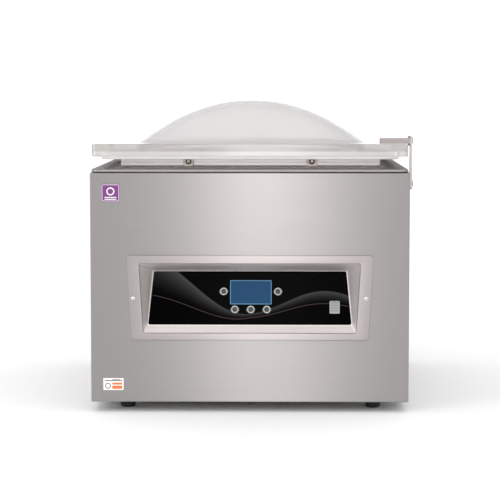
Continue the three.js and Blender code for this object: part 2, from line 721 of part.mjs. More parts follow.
lidPiece('lid_dome', lidDome(), clearAcrylic);
lidPiece('lid_gasket', gasketRing(0, DECK_TOP + GAP, LID_LOW + GROOVE_DEPTH - GAP), silicone);
lidPiece('counter_bar', block(
  [-COUNTER_HALF_L, BAR_Y - COUNTER_W / 2, COUNTER_LOW],
  [COUNTER_HALF_L, BAR_Y + COUNTER_W / 2, LID_LOW - GAP],
), aluminium);
lidPiece('counter_bar_silicone', block(
  [-COUNTER_HALF_L + 4, BAR_Y - COUNTER_SILICONE_W / 2, SILICONE_LOW],
  [COUNTER_HALF_L - 4, BAR_Y + COUNTER_SILICONE_W / 2, COUNTER_LOW - GAP],
), silicone);
for (const [word, side] of SIDES) {
  lidPiece(`counter_bar_holder_${word}`, counterHolder(side), zinc);
  lidPiece(`hinge_arm_${word}`, hingeArm(side), satinSteel);
}
lidPiece('latch_bracket', latchBracket(), satinSteel);

// ---------------------------------------------------------------- latch strap, hung plumb from its bracket

// The pivot's place once the lid stands at its rest angle.
const pivot = new THREE.Vector3(0, LATCH_Y - HINGE_Y, LATCH_PIVOT_Z - HINGE_Z)
  .applyAxisAngle(new THREE.Vector3(1, 0, 0), -THREE.MathUtils.degToRad(LID_REST_DEG))
  .add(new THREE.Vector3(0, HINGE_Y, HINGE_Z));

// Outline in (rearwards, up) from the pivot: shank, open throat for the stud, and the lip under it.
function latchStrap() {
  const plate = alongX(outline([
    [-6, 4],
    [-4, 7],
    [4, 7],
    [6, 4],
    [6, -49.5],
    [-1, -54.5],
    [-1, -74.7],
    [8, -74.7],
    [8, -77.5],
    [6, -79],
    [-4, -79],
    [-6, -77],
  ]), STRAP_X, STRAP_X + STRAP_T);
  return plate
    .add(bar('x', PIN_R, 8, [STRAP_X, 0, 0], 16))
    .add(bar('x', PIN_HEAD_R, 1.6, [STRAP_X + STRAP_T + 0.7, 0, 0], 20));
}

piece(machine, 'latch_strap', latchStrap(), steel).position.copy(pivot);

const studY = pivot.y + STUD_BEHIND;
const stud = bar('x', STUD_R, 9, [CASE_HALF_W + GAP + 4.5, studY, STUD_Z], 16)
  .add(bar('x', 4.5, 1.6, [CASE_HALF_W + GAP + 9.8, studY, STUD_Z], 20))
  .add(bar('x', 5, 2, [CASE_HALF_W + GAP + 1, studY, STUD_Z], 20));
piece(machine, 'latch_stud', stud, zinc);

// ---------------------------------------------------------------- hinges on the deck

function hingeBracket(side) {
  const x = side * HINGE_X;
  const low = DECK_TOP + GAP;
  let shape = block([x - 34, 243, low], [x + 34, HINGE_Y + EAR_R, low + 2.7]);
  for (const hand of [-1, 1]) {
    const middle = x + hand * (EAR_OFFSET + EAR_T / 2);
    shape = shape
      .add(block([middle - EAR_T / 2, HINGE_Y - EAR_R, low], [middle + EAR_T / 2, HINGE_Y + EAR_R, HINGE_Z]))
      .add(bar('x', EAR_R, EAR_T, [middle, HINGE_Y, HINGE_Z], 24));
  }
  return shape.subtract(bar('x', PIN_R + GAP, 70, [x, HINGE_Y, HINGE_Z], 16));
}

function hingePin(side) {
  const x = side * HINGE_X;
  const half = EAR_OFFSET + EAR_T + 3;
  return bar('x', PIN_R, 2 * half, [x, HINGE_Y, HINGE_Z], 16)
    .add(bar('x', PIN_HEAD_R, 2, [x + half, HINGE_Y, HINGE_Z], 16))
    .add(bar('x', PIN_HEAD_R, 2, [x - half, HINGE_Y, HINGE_Z], 16));
}

class Coil extends THREE.Curve {
  getPoint(t, target = new THREE.Vector3()) {
    const turn = t * SPRING_TURNS;
    const angle = turn * 2 * Math.PI;
    return target.set(turn * SPRING_PITCH, SPRING_R * Math.cos(angle), SPRING_R * Math.sin(angle));
  }
}

// Torsion spring wound round the pin between the knuckle and one ear.
function lidSpring(side) {
  const wire = new THREE.Shape().absarc(0, 0, SPRING_WIRE_R, 0, 2 * Math.PI);
  const geometry = new THREE.ExtrudeGeometry(wire, {
    steps: 40,
    curveSegments: 3,
    bevelEnabled: false,
    extrudePath: new Coil(),
  });
  const inward = side > 0 ? -EAR_OFFSET + 1.5 : 9.5;
  return solid(geometry).translate([side * HINGE_X + inward, HINGE_Y, HINGE_Z]);
}

for (const [word, side] of SIDES) {
  piece(machine, `hinge_bracket_${word}`, hingeBracket(side), satinSteel);
  piece(machine, `hinge_pin_${word}`, hingePin(side), zinc);
  piece(machine, `lid_spring_${word}`, lidSpring(side), zinc);
}

// ---------------------------------------------------------------- rear fittings

// Socket for a power lead: flange, hollow body and three pins.
function powerInlet() {
  const flange = rectAround(INLET_X, REAR_FITTING_Z, 24, 13, 4);
  const body = rectAround(INLET_X, REAR_FITTING_Z, 13.5, 10, 3);
  const mouth = rectAround(INLET_X, REAR_FITTING_Z, 12, 8, 3);
  let shape = alongY(flange, REAR_Y + GAP, REAR_Y + INLET_PROUD)
    .add(alongY(body, REAR_Y - 22, REAR_Y + 1))
    .subtract(alongY(mouth, REAR_Y - 16, REAR_Y + 5));
  for (const [dx, dz] of [[-7, -2], [0, 2], [7, -2]]) {
    const x = INLET_X + dx;
    const z = REAR_FITTING_Z + dz;
    shape = shape.add(block([x - 1, REAR_Y - 17, z - 2], [x + 1, REAR_Y - 6, z + 2]));
  }
  return shape;
}

function switchFrame() {
  const x = SWITCH_X;
  const z = REAR_FITTING_Z;
  return alongY(rectAround(x, z, 12.5, 16, 2), REAR_Y + GAP, REAR_Y + 2.3, 3)
    .add(block([x - 10, REAR_Y - 18, z - 13.5], [x + 10, REAR_Y + 1, z + 13.5]))
    .subtract(block([x - 8.5, REAR_Y - 14, z - 12], [x + 8.5, REAR_Y + 5, z + 12]));
}

// Rocker drawn level about its pivot.
function rocker() {
  const shape = outline([[-7, -4], [-7, 4], [2.6, 10.8], [6.3, 10.8], [4.6, 0], [6.3, -10.8], [2.6, -10.8]]);
  return alongX(shape, -ROCKER_HALF_W, ROCKER_HALF_W);
}

piece(machine, 'power_inlet', powerInlet(), blackPlastic);
piece(machine, 'switch_frame', switchFrame(), blackPlastic);
const rockerNode = piece(machine, 'power_switch', rocker(), blackPlastic);
rockerNode.position.set(SWITCH_X, ROCKER_PIVOT_Y, REAR_FITTING_Z);
rockerNode.rotation.x = THREE.MathUtils.degToRad(ROCKER_TILT_DEG);

// ---------------------------------------------------------------- vacuum pump, motor and electrics

// Ribbed pump casing on four feet, with the inlet neck on its top.
function pumpBody() {
  let shape = block([-150, DRIVE_Y - 75, 45], [-36, DRIVE_Y + 75, 185]);
  for (let i = 0; i < 5; i += 1) {
    const x = -140 + i * 22;
    shape = shape.add(block([x, DRIVE_Y - 83, 60], [x + 6, DRIVE_Y - 70, 176]));
  }
  for (const y of [DRIVE_Y - 60, DRIVE_Y + 40]) {
    shape = shape.add(block([-145, y, BASE_TOP + GAP], [-115, y + 20, 50]));
    shape = shape.add(block([-75, y, BASE_TOP + GAP], [-45, y + 20, 50]));
  }
  return shape.add(bar('z', 18, 30, [-90, DRIVE_Y + 20, 195], 24));
}

// Oil tank on the pump's left end, with a filler cap and a seat for the sight glass.
function oilTank() {
  const shape = roundedRect(DRIVE_Y - 78, DRIVE_Y + 78, 48, 205, 12);
  const tank = alongX(shape, -215, -150 - GAP);
  return tank
    .add(bar('z', 12, 10, [-185, DRIVE_Y - 45, 207], 18))
    .subtract(bar('x', SIGHT_GLASS_R + 0.5, 8, [-215, DRIVE_Y, SIGHT_GLASS_Z], 24));
}

// Finned tube open at its fan end, on two rails.
function motorHousing() {
  let shape = bar('x', MOTOR_R, 140, [35, DRIVE_Y, DRIVE_Z], 24);
  for (let i = 0; i < 12; i += 1) {
    const fin = block([-25, -2, MOTOR_R - 4], [95, 2, MOTOR_R + 7]).rotate([i * 30, 0, 0]);
    shape = shape.add(fin.translate([0, DRIVE_Y, DRIVE_Z]));
  }
  for (const y of [DRIVE_Y - 58, DRIVE_Y + 40]) {
    shape = shape.add(block([0, y, BASE_TOP + GAP], [70, y + 18, DRIVE_Z - 40]));
  }
  return shape
    .subtract(bar('x', MOTOR_BORE_R, 124, [51, DRIVE_Y, DRIVE_Z], 24))
    .subtract(bar('x', SHAFT_R + 2, 60, [-40, DRIVE_Y, DRIVE_Z], 20));
}

// Rotor core, shaft and cooling fan turn together.
function motorRotor() {
  let shape = bar('x', SHAFT_R, 160, [66, 0, 0], 18)
    .add(bar('x', ROTOR_R, 78, [ROTOR_MIDDLE_X, 0, 0], 28))
    .add(bar('x', 16, 18, [124, 0, 0], 20));
  for (let i = 0; i < 8; i += 1) {
    const blade = block([116, -1.5, 10], [132, 1.5, 60]);
    shape = shape.add(blade.rotate([i * 45, 0, 0]));
  }
  return shape;
}

// Cup over the fan with two rings of air holes.
function fanCover() {
  let shape = bar('x', FAN_COVER_R, 46, [129, DRIVE_Y, DRIVE_Z], 24)
    .subtract(bar('x', FAN_COVER_R - 2, 50, [125, DRIVE_Y, DRIVE_Z], 24));
  for (let ring = 0; ring < 2; ring += 1) {
    for (let i = 0; i < 8; i += 1) {
      const angle = (i * Math.PI) / 4;
      const r = 24 + ring * 24;
      const spot = [150, DRIVE_Y + r * Math.cos(angle), DRIVE_Z + r * Math.sin(angle)];
      shape = shape.subtract(bar('x', 6, 12, spot, 6));
    }
  }
  return shape;
}

// Valve block behind the chamber, with the hose neck below and a solenoid on top.
function valveBlock() {
  return block([-30, VALVE_Y - 14, 300], [30, VALVE_Y + 16, 344])
    .add(bar('z', 12, 42, [-14, VALVE_Y, 280], 20))
    .add(bar('z', 14, 22, [14, VALVE_Y, 352], 20));
}

// Hose from the valve block's neck to the pump's neck.
function vacuumHose() {
  const path = new THREE.CatmullRomCurve3([
    new THREE.Vector3(-14, VALVE_Y, 258),
    new THREE.Vector3(-14, VALVE_Y, 244),
    new THREE.Vector3(-32, CHAMBER_REAR_Y - 10, 226),
    new THREE.Vector3(-72, DRIVE_Y + 70, 244),
    new THREE.Vector3(-90, DRIVE_Y + 20, 236),
    new THREE.Vector3(-90, DRIVE_Y + 20, 212),
  ]);
  const section = new THREE.Shape().absarc(0, 0, HOSE_R, 0, 2 * Math.PI);
  return solid(new THREE.ExtrudeGeometry(section, {
    steps: 16,
    curveSegments: 5,
    bevelEnabled: false,
    extrudePath: path,
  }));
}

// Laminated core, winding and mounting tags.
function transformer() {
  const low = BASE_TOP + GAP;
  const core = block([170, 150, low], [236, 215, low + 66]);
  const winding = upright(roundedRect(178, 228, 138, 227, 8), low + 16, low + 50);
  const tag = block([160, 170, low], [245, 195, low + 3]);
  return core.add(winding).add(tag);
}

piece(machine, 'pump_body', pumpBody(), castGrey);
piece(machine, 'oil_tank', oilTank(), castGrey);
piece(machine, 'oil_sight_glass', bar('x', SIGHT_GLASS_R, 6, [-214, DRIVE_Y, SIGHT_GLASS_Z], 24), oilGlass);
piece(machine, 'motor_housing', motorHousing(), aluminium);
const rotorNode = piece(machine, 'motor_rotor', motorRotor(), zinc);
rotorNode.position.set(0, DRIVE_Y, DRIVE_Z);
piece(machine, 'fan_cover', fanCover(), blackPlastic);
piece(machine, 'valve_block', valveBlock(), aluminium);
piece(machine, 'vacuum_hose', vacuumHose(), hoseBlack);
piece(machine, 'seal_transformer', transformer(), copper);

// The latch stands out on the right and the bezel at the front, so the machine is moved by half of
// that difference to keep the origin under the middle of its bounding box.
const FRONT_REACH = BEZEL_T + 2; // bezel and screw heads
machine.position.set(-STUD_REACH / 2, (FRONT_REACH - INLET_PROUD) / 2, 0);

export default machine;
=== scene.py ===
"""A table-top chamber vacuum packing machine: looks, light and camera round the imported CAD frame.

Shapes are drawn in the machine's own millimetres: X from the cabinet's middle, Y from 290 mm in front of
its zero line, Z up from the ground. TO_METRES and the matrices made from it turn them into metres.
"""

import json
import math

import bmesh
import bpy
from mathutils import Matrix, Vector


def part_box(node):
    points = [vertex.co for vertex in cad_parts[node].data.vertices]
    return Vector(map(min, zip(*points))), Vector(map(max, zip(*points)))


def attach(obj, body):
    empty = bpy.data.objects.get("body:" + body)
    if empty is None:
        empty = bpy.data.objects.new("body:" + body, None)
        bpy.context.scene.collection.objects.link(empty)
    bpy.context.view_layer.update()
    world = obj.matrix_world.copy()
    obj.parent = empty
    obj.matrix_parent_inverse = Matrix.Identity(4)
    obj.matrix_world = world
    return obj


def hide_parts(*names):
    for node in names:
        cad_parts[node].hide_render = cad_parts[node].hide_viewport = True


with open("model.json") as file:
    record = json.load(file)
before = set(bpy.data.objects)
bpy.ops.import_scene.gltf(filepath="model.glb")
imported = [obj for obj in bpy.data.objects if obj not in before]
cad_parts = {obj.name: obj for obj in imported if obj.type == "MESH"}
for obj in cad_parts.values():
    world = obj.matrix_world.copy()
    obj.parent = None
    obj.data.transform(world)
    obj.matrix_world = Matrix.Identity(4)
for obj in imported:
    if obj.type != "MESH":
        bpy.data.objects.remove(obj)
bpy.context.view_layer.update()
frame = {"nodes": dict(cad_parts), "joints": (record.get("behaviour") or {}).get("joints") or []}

# ---------------- driving values from the frame

MM = 0.001
JOINTS = {joint["name"]: joint for joint in frame["joints"]}
DECK_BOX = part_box("deck_plate")
CASE_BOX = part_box("front_panel")
CASE_HALF_W = (CASE_BOX[1].x - CASE_BOX[0].x) / 2 / MM
FRONT = -290.0
HOME = Matrix.Translation(((CASE_BOX[0].x + CASE_BOX[1].x) / 2, CASE_BOX[0].y - FRONT * MM, 0))
TO_METRES = HOME @ Matrix.Scale(MM, 4)
DECK_TOP = DECK_BOX[1].z / MM

# the lid's own frame: drawn closed, then opened to its rest angle about the hinge
HINGE = Vector(JOINTS["lid_hinge"]["pos_m"])
LID_REST = math.radians(-JOINTS["lid_hinge"]["range_deg"][0])
LID_TO_METRES = (
    Matrix.Translation(HINGE)
    @ Matrix.Rotation(-LID_REST, 4, "X")
    @ Matrix.Translation(-HINGE)
    @ TO_METRES
)

# the slanted control panel's frame: X across, Y up the slope, Z out of its face
SLOPE_FOOT = Vector((0, -280, 139.8))
SLOPE_HEAD = Vector((0, -255, 224.6))
SLOPE_ANGLE = math.atan2(SLOPE_HEAD.y - SLOPE_FOOT.y, SLOPE_HEAD.z - SLOPE_FOOT.z)
SLOPE_H = (SLOPE_HEAD - SLOPE_FOOT).length
FOOT_HALF_W = 164  # the panel's half width at the foot of the slope, and at its head
HEAD_HALF_W = 156
SLOPE_TO_METRES = (
    TO_METRES @ Matrix.Translation(SLOPE_FOOT) @ Matrix.Rotation(math.radians(90) - SLOPE_ANGLE, 4, "X")
)

SIDES = (("left", -1), ("right", 1))


def shift(x, y, z):
    return Matrix.Translation((x, y, z))


def turned_by(degrees, axis):
    return Matrix.Rotation(math.radians(degrees), 4, axis)


def add_object(name, data):
    """A new object, linked into the scene."""
    obj = bpy.data.objects.new(name, data)
    bpy.context.scene.collection.objects.link(obj)
    return obj


# turns a flat outline drawn in X and Y so that it faces the front, its Z pointing at the viewer
FACING = turned_by(90, "X")
REARWARDS = turned_by(180, "Z") @ FACING
# turns an outline drawn in X and Y so that X runs to the back, Y up, and Z to the right
SIDEWAYS = Matrix(((0, 0, 1, 0), (1, 0, 0, 0), (0, 1, 0, 0), (0, 0, 0, 1)))
# turns a turned piece so that its axis runs to the right
ACROSS = turned_by(90, "Y")

# ---------------- camera

CAMERA_DISTANCE = 3.0
CAMERA_RIGHT = 0.045
CAMERA_ABOVE_DECK = 0.1286
CAMERA_PITCH = math.radians(-4.91)
CAMERA_YAW = math.radians(0.85)
CAMERA_LENS = 135.8


def make_camera():
    data = bpy.data.cameras.new("camera")
    data.lens = CAMERA_LENS
    data.clip_start = 0.05
    data.clip_end = 50
    camera = add_object("camera", data)
    camera.location = (
        HOME.translation.x + CAMERA_RIGHT,
        CASE_BOX[0].y - CAMERA_DISTANCE,
        DECK_BOX[1].z + CAMERA_ABOVE_DECK,
    )
    camera.rotation_euler = (math.radians(90) + CAMERA_PITCH, 0, CAMERA_YAW)
    bpy.context.scene.camera = camera


make_camera()

# ---------------- materials


NOISE_SPAN = (0.3, 0.7)  # the part of a noise's values that is stretched over a whole range


class Tree:
    """A small hand for building a node tree."""

    def __init__(self, tree):
        self.tree = tree

    def feed(self, value, socket):
        """Sets a socket to a constant, or links another node's output to it."""
        if isinstance(value, bpy.types.NodeSocket):
            self.tree.links.new(value, socket)
        else:
            socket.default_value = value

    def fill(self, node, **values):
        """Feeds a node's inputs by their names, with an underscore for a space."""
        for name, value in values.items():
            self.feed(value, node.inputs[name.replace("_", " ")])
        return node

    def add(self, kind, **values):
        return self.fill(self.tree.nodes.new(kind), **values)

    def split(self, vector):
        """The X, Y and Z of a vector."""
        return self.add("ShaderNodeSeparateXYZ", Vector=vector).outputs

    def noise(self, vector, scale=1.0, detail=3.0, roughness=0.5):
        node = self.add("ShaderNodeTexNoise", Vector=vector, Scale=scale, Detail=detail, Roughness=roughness)
        return node.outputs["Fac"]

    def ramp(self, value, low, high, out_low=0, out_high=1, smooth=False):
        """The span of a value from low to high, stretched to another span."""
        node = self.add("ShaderNodeMapRange", Value=value, From_Min=low, From_Max=high)
        self.fill(node, To_Min=out_low, To_Max=out_high)
        node.interpolation_type = "SMOOTHSTEP" if smooth else "LINEAR"
        return node.outputs["Result"]

    def math(self, kind, *values):
        node = self.add("ShaderNodeMath")
        node.operation = kind
        for value, socket in zip(values, node.inputs):
            self.feed(value, socket)
        return node.outputs["Value"]

    def mix(self, factor, a, b):
        """Colour a where the factor is 0, and colour b where it is 1."""
        node = self.add("ShaderNodeMix")
        node.data_type = "RGBA"
        self.feed(factor, node.inputs[0])
        for value, socket in ((a, node.inputs[6]), (b, node.inputs[7])):
            self.feed((*value, 1) if isinstance(value, tuple) else value, socket)
        return node.outputs[2]


class Nodes(Tree):
    """The tree of one new material, round its shader."""

    def __init__(self, name, color, roughness, metallic=0.0, **values):
        self.material = bpy.data.materials.new(name)
        self.material.use_nodes = True
        super().__init__(self.material.node_tree)
        self.shader = self.tree.nodes["Principled BSDF"]
        self.set(Base_Color=(*color, 1), Roughness=roughness, Metallic=metallic, **values)
        self.coords = self.add("ShaderNodeTexCoord").outputs["Object"]

    def set(self, **values):
        self.fill(self.shader, **values)

    def mapped(self, scale):
        return self.add("ShaderNodeMapping", Vector=self.coords, Scale=scale).outputs["Vector"]

    def spread(self, noise, low, high):
        return self.ramp(noise, *NOISE_SPAN, low, high)

    def tint(self, noise, dark, light):
        """Colours the surface between two shades."""
        self.set(Base_Color=self.mix(self.spread(noise, 0, 1), dark, light))

    def bump(self, height, strength, distance=0.0002):
        node = self.add("ShaderNodeBump", Height=height, Strength=strength, Distance=distance)
        self.set(Normal=node.outputs["Normal"])


def shaded(color, factor):
    return tuple(min(1.0, c * factor) for c in color)


def brushed(name, color, scale, tangent, roughness, anisotropic, contrast=0.05):
    """Rolled metal with a fine directional grain: scale is fast across the grain."""
    m = Nodes(name, color, roughness, 1.0, Anisotropic=anisotropic)
    radial = m.add("ShaderNodeTangent")
    radial.direction_type = "RADIAL"
    radial.axis, rotation = tangent
    m.set(Tangent=radial.outputs["Tangent"], Anisotropic_Rotation=rotation)
    grain = m.noise(m.mapped(scale), 1.0, 4.0, 0.6)
    cloud = m.noise(m.coords, 3.0, 2.0)
    m.tint(grain, shaded(color, 1 - contrast), shaded(color, 1 + contrast * 0.6))
    m.set(Roughness=m.math("ADD", m.spread(grain, -0.03, 0.03), m.spread(cloud, roughness, roughness + 0.03)))
    m.bump(grain, 0.015)
    return m.material


def plain_metal(name, color, roughness, grain_scale=120.0, bump=0.05):
    """Cast, plated or turned metal with a fine even grain."""
    m = Nodes(name, color, roughness, 1.0)
    grain = m.noise(m.coords, grain_scale, 4.0, 0.6)
    m.tint(grain, shaded(color, 0.88), color)
    m.set(Roughness=m.ramp(grain, 0.25, 0.75, roughness - 0.05, roughness + 0.07))
    m.bump(grain, bump)
    return m.material


def moulded(name, color, roughness, grain_scale=700.0, bump=0.15, speckle=0.12):
    """Plastic, rubber, silicone or print with a fine texture and slight unevenness."""
    m = Nodes(name, color, roughness)
    fine = m.noise(m.coords, grain_scale, 2.0, 0.5)
    m.tint(m.noise(m.coords, 18.0, 3.0), shaded(color, 1 - speckle), color)
    m.set(Roughness=m.spread(fine, roughness - 0.05, roughness + 0.08))
    m.bump(fine, bump, 0.0003)
    return m.material


steel = brushed("brushed_steel", (0.336, 0.319, 0.316), (6, 6, 1400), ("Z", 0.25), 0.36, 1.0)
deck_steel = brushed("deck_steel", (0.27, 0.252, 0.245), (6, 1400, 1400), ("Y", 0.25), 0.42, 0.3)
bezel_steel = brushed("bezel_steel", (0.40, 0.368, 0.362), (6, 6, 1400), ("Z", 0.25), 0.36, 1.0)
# the control recess's walls: a much lighter copy of the bezel's steel, painted light for the light that
# bounces round the recess
tray_painted_light_steel = brushed("tray_painted_light_steel", (0.73, 0.69, 0.68), (6, 6, 900), ("Z", 0.25), 0.62, 0.2)
# the chamber's tub: a much lighter steel than the cabinet's, painted light for the light inside the chamber
tank_painted_light_steel = brushed("tank_painted_light_steel", (0.80, 0.772, 0.763), (9, 9, 300), ("Z", 0.25), 0.56, 0.3)
bracket_steel = brushed("bracket_steel", (0.29, 0.26, 0.25), (700, 12, 700), ("Z", 0.25), 0.35, 0.4)
strap_steel = brushed("strap_steel", (0.44, 0.42, 0.415), (700, 700, 12), ("X", 0.25), 0.35, 0.4)
zinc = plain_metal("zinc_plate", (0.46, 0.455, 0.44), 0.38)
holder_zinc = plain_metal("holder_zinc", (0.46, 0.44, 0.42), 0.42)
collar_alloy = plain_metal("collar_alloy", (0.56, 0.47, 0.40), 0.36)
bright_zinc = plain_metal("bright_zinc", (0.80, 0.79, 0.78), 0.34, 300.0, 0.02)
bar_steel = brushed("bar_steel", (0.68, 0.635, 0.625), (8, 900, 900), ("Y", 0.25), 0.40, 0.5, 0.04)
aluminium = brushed("aluminium", (0.62, 0.585, 0.575), (8, 900, 900), ("Y", 0.25), 0.34, 0.5, 0.06)
cast_iron = plain_metal("cast_iron", (0.16, 0.18, 0.19), 0.6, 260.0, 0.35)
cast_alloy = plain_metal("cast_alloy", (0.30, 0.32, 0.33), 0.5, 260.0, 0.3)
chrome = plain_metal("satin_chrome", (0.27, 0.27, 0.27), 0.28, 300.0, 0.02)
rubber = moulded("rubber", (0.012, 0.012, 0.013), 0.62)
black_plastic = moulded("black_plastic", (0.022, 0.022, 0.024), 0.42)
silicone = moulded("silicone", (0.86, 0.84, 0.82), 0.5, 500.0, 0.08, 0.05)
hose_rubber = moulded("hose_rubber", (0.02, 0.02, 0.021), 0.5)
board_green = moulded("solder_mask", (0.03, 0.17, 0.07), 0.35)
copper = plain_metal("varnished_copper", (0.5, 0.22, 0.1), 0.42)
tape = moulded("coated_tape", (0.42, 0.29, 0.15), 0.5, 900.0, 0.3)
label_white = moulded("label_white", (0.82, 0.81, 0.79), 0.5, 900.0, 0.05, 0.04)
label_orange = moulded("label_orange", (0.80, 0.16, 0.03), 0.5, 900.0, 0.05, 0.08)
label_grey = moulded("label_grey", (0.05, 0.05, 0.055), 0.5, 900.0, 0.05, 0.08)
button_mark = moulded("button_mark", (0.10, 0.10, 0.105), 0.5, 900.0, 0.05, 0.08)
button_core = moulded("button_core", (0.015, 0.015, 0.017), 0.4, 900.0, 0.05, 0.08)
plum = moulded("plum_enamel", (0.17, 0.020, 0.185), 0.3, 900.0, 0.03, 0.1)
recess_shade = moulded("screw_recess_shade", (0.20, 0.195, 0.19), 0.6, 900.0, 0.05, 0.1)
# painted shade: a dark brown disc in the gap round each holder's bolt
hole_shade = moulded("shaded_recess", (0.10, 0.062, 0.045), 0.7, 900.0, 0.05, 0.1)
floor_paint = moulded("floor_paint", (0.98, 0.98, 0.98), 0.7, 40.0, 0.0, 0.0)
badge_dark = brushed("badge_dark", (0.20, 0.20, 0.21), (1400, 6, 6), ("Z", 0.0), 0.4, 0.3, 0.2)
badge_silver = brushed("badge_silver", (0.27, 0.27, 0.275), (1400, 6, 6), ("Z", 0.0), 0.35, 0.3, 0.25)


# closed heights (m) between which the lid's edge turns from a paler painted band, the white gasket seen
# through the acrylic, to the darker painted edge shade
GASKET_SHOW_HEIGHTS = (0.4025, 0.4055)

# the swoosh on the panel: across from -1 at the left edge to 1 at the right, up from 0 to 1
WAVE_SHIFT = 0.05
WAVE_TURN = 4.0  # radians from the middle to an edge
CREST_MIDDLE = 0.43
CREST_SWING = 0.215
CREST_LEFT_RISE = 0.75
CREST_SOFTNESS = 0.03
CREST_EDGE = (0.98, 1.1)  # shares of the swoosh's height between which the ground turns lighter
GLOW_FALL = 2.0
HEM_SHARE = 0.62  # the hem's height as a share of the crest's
HEM_LEFT_FALL = 0.27
HEM_LINE = (0.003, 0.010)  # distances from the hem at which its line begins to fade and is gone


def acrylic_material():
    m = Nodes("clear_acrylic", (0.92, 0.91, 0.905), 0.04, 0.0, IOR=1.32, Transmission_Weight=0.66)
    haze = m.noise(m.coords, 9.0, 4.0)
    m.set(Roughness=m.spread(haze, 0.03, 0.06))
    m.tint(haze, (0.905, 0.893, 0.89), (0.93, 0.92, 0.915))
    return m.material


def acrylic_edge_material():
    """The plate's sawn and flame-polished edge, painted darker than the rest as shade where light runs a long
    way through it, with a paler painted band where the white gasket shows through.
    """
    m = Nodes("acrylic_edge", (0.77, 0.745, 0.725), 0.12, 0.0, IOR=1.4, Transmission_Weight=0.6)
    _, y, z = m.split(m.coords)
    lifted = m.math("MULTIPLY", m.math("SUBTRACT", HINGE.y, y), math.sin(LID_REST))
    band = m.ramp(m.math("SUBTRACT", z, lifted), *GASKET_SHOW_HEIGHTS, 1, 0, True)
    marks = m.noise(m.mapped((6, 6, 60)), 1.0, 2.0)
    # the darker edge colours are painted shade; the paler colour where band is 1 is the painted white gasket
    # seen through the edge
    clear = m.mix(m.spread(marks, 0, 1), (0.56, 0.535, 0.515), (0.60, 0.575, 0.555))
    m.set(Base_Color=m.mix(band, clear, (0.80, 0.775, 0.755)))
    return m.material


def panel_print_material():
    """Black glossy foil with one soft swoosh that fades downwards to a thin line, drawn by formula."""
    m = Nodes("panel_print", (0.003, 0.003, 0.0035), 0.18, 0.0, Specular_IOR_Level=0.01)
    x, _, z = m.split(m.coords)
    middle = HOME.translation.x
    across = m.ramp(x, middle - FOOT_HALF_W * MM, middle + FOOT_HALF_W * MM, -1, 1)
    height = m.ramp(z, SLOPE_FOOT.z * MM, SLOPE_HEAD.z * MM)
    wave = m.math("COSINE", m.math("MULTIPLY", m.math("ADD", across, WAVE_SHIFT), WAVE_TURN))
    left = m.math("MINIMUM", across, 0.0)
    rise = m.math("MULTIPLY", m.math("MULTIPLY", left, left), CREST_LEFT_RISE)
    crest = m.math("ADD", m.math("SUBTRACT", CREST_MIDDLE, m.math("MULTIPLY", wave, CREST_SWING)), rise)
    hem = m.math("ADD", m.math("MULTIPLY", crest, HEM_SHARE), m.math("MULTIPLY", left, HEM_LEFT_FALL))
    share = m.math("DIVIDE", m.math("SUBTRACT", height, hem), m.math("SUBTRACT", crest, hem))
    below = m.ramp(m.math("SUBTRACT", crest, height), 0.0, CREST_SOFTNESS, 0, 1, True)
    glow = m.math("MULTIPLY", m.math("POWER", m.math("MAXIMUM", share, 0.0), GLOW_FALL), below)
    ground = m.mix(m.ramp(share, *CREST_EDGE), (0.0003, 0.0003, 0.0003), (0.0011, 0.0011, 0.0012))
    body = m.mix(m.math("MINIMUM", glow, 1.0), ground, (0.052, 0.052, 0.054))
    line = m.ramp(m.math("ABSOLUTE", m.math("SUBTRACT", height, hem)), *HEM_LINE, 1, 0, True)
    m.set(Base_Color=m.mix(line, body, (0.052, 0.030, 0.045)))
    m.set(Roughness=m.spread(m.noise(m.coords, 900.0, 2.0), 0.15, 0.22))
    return m.material


def display_material(name, color, glow):
    m = Nodes(name, color, 0.2, 0.0, Specular_IOR_Level=0.05, Emission_Strength=glow)
    m.set(Emission_Color=(*color, 1))
    m.tint(m.noise(m.mapped((30, 30, 400)), 1.0, 2.0), shaded(color, 0.93), color)
    return m.material


def oil_glass_material():
    m = Nodes("sight_oil", (0.75, 0.48, 0.10), 0.08, 0.0, IOR=1.5, Transmission_Weight=0.6)
    m.tint(m.noise(m.coords, 60.0, 2.0), (0.62, 0.36, 0.06), (0.80, 0.55, 0.14))
    return m.material


acrylic = acrylic_material()
acrylic_edge = acrylic_edge_material()
panel_print = panel_print_material()
display_blue = display_material("display_blue", (0.008, 0.045, 0.108), 0.2)
display_frame = display_material("display_frame", (0.08, 0.20, 0.30), 0.1)
sight_oil = oil_glass_material()

# ---------------- mesh tools


SHARP_ANGLE = 40  # degrees over which an edge is shaded as a sharp one
MERGE_DISTANCE = 1e-3


def placed(mesh, matrix):
    mesh.transform(matrix)
    mesh.update()
    return mesh


def piece(name, mesh, matrix, material, replaces=(), body="cabinet", sharp=SHARP_ANGLE, weighted=True):
    """A finished piece on its body, standing for the CAD nodes that it replaces."""
    placed(mesh, matrix)
    mesh.name = name
    mesh.polygons.foreach_set("use_smooth", [True] * len(mesh.polygons))
    mesh.set_sharp_from_angle(angle=math.radians(sharp))
    mesh.materials.append(material)
    obj = add_object(name, mesh)
    if weighted:
        flat = obj.modifiers.new("flat_faces", "WEIGHTED_NORMAL")
        flat.keep_sharp = True
    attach(obj, body)
    if replaces:
        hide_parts(*replaces)
    return obj


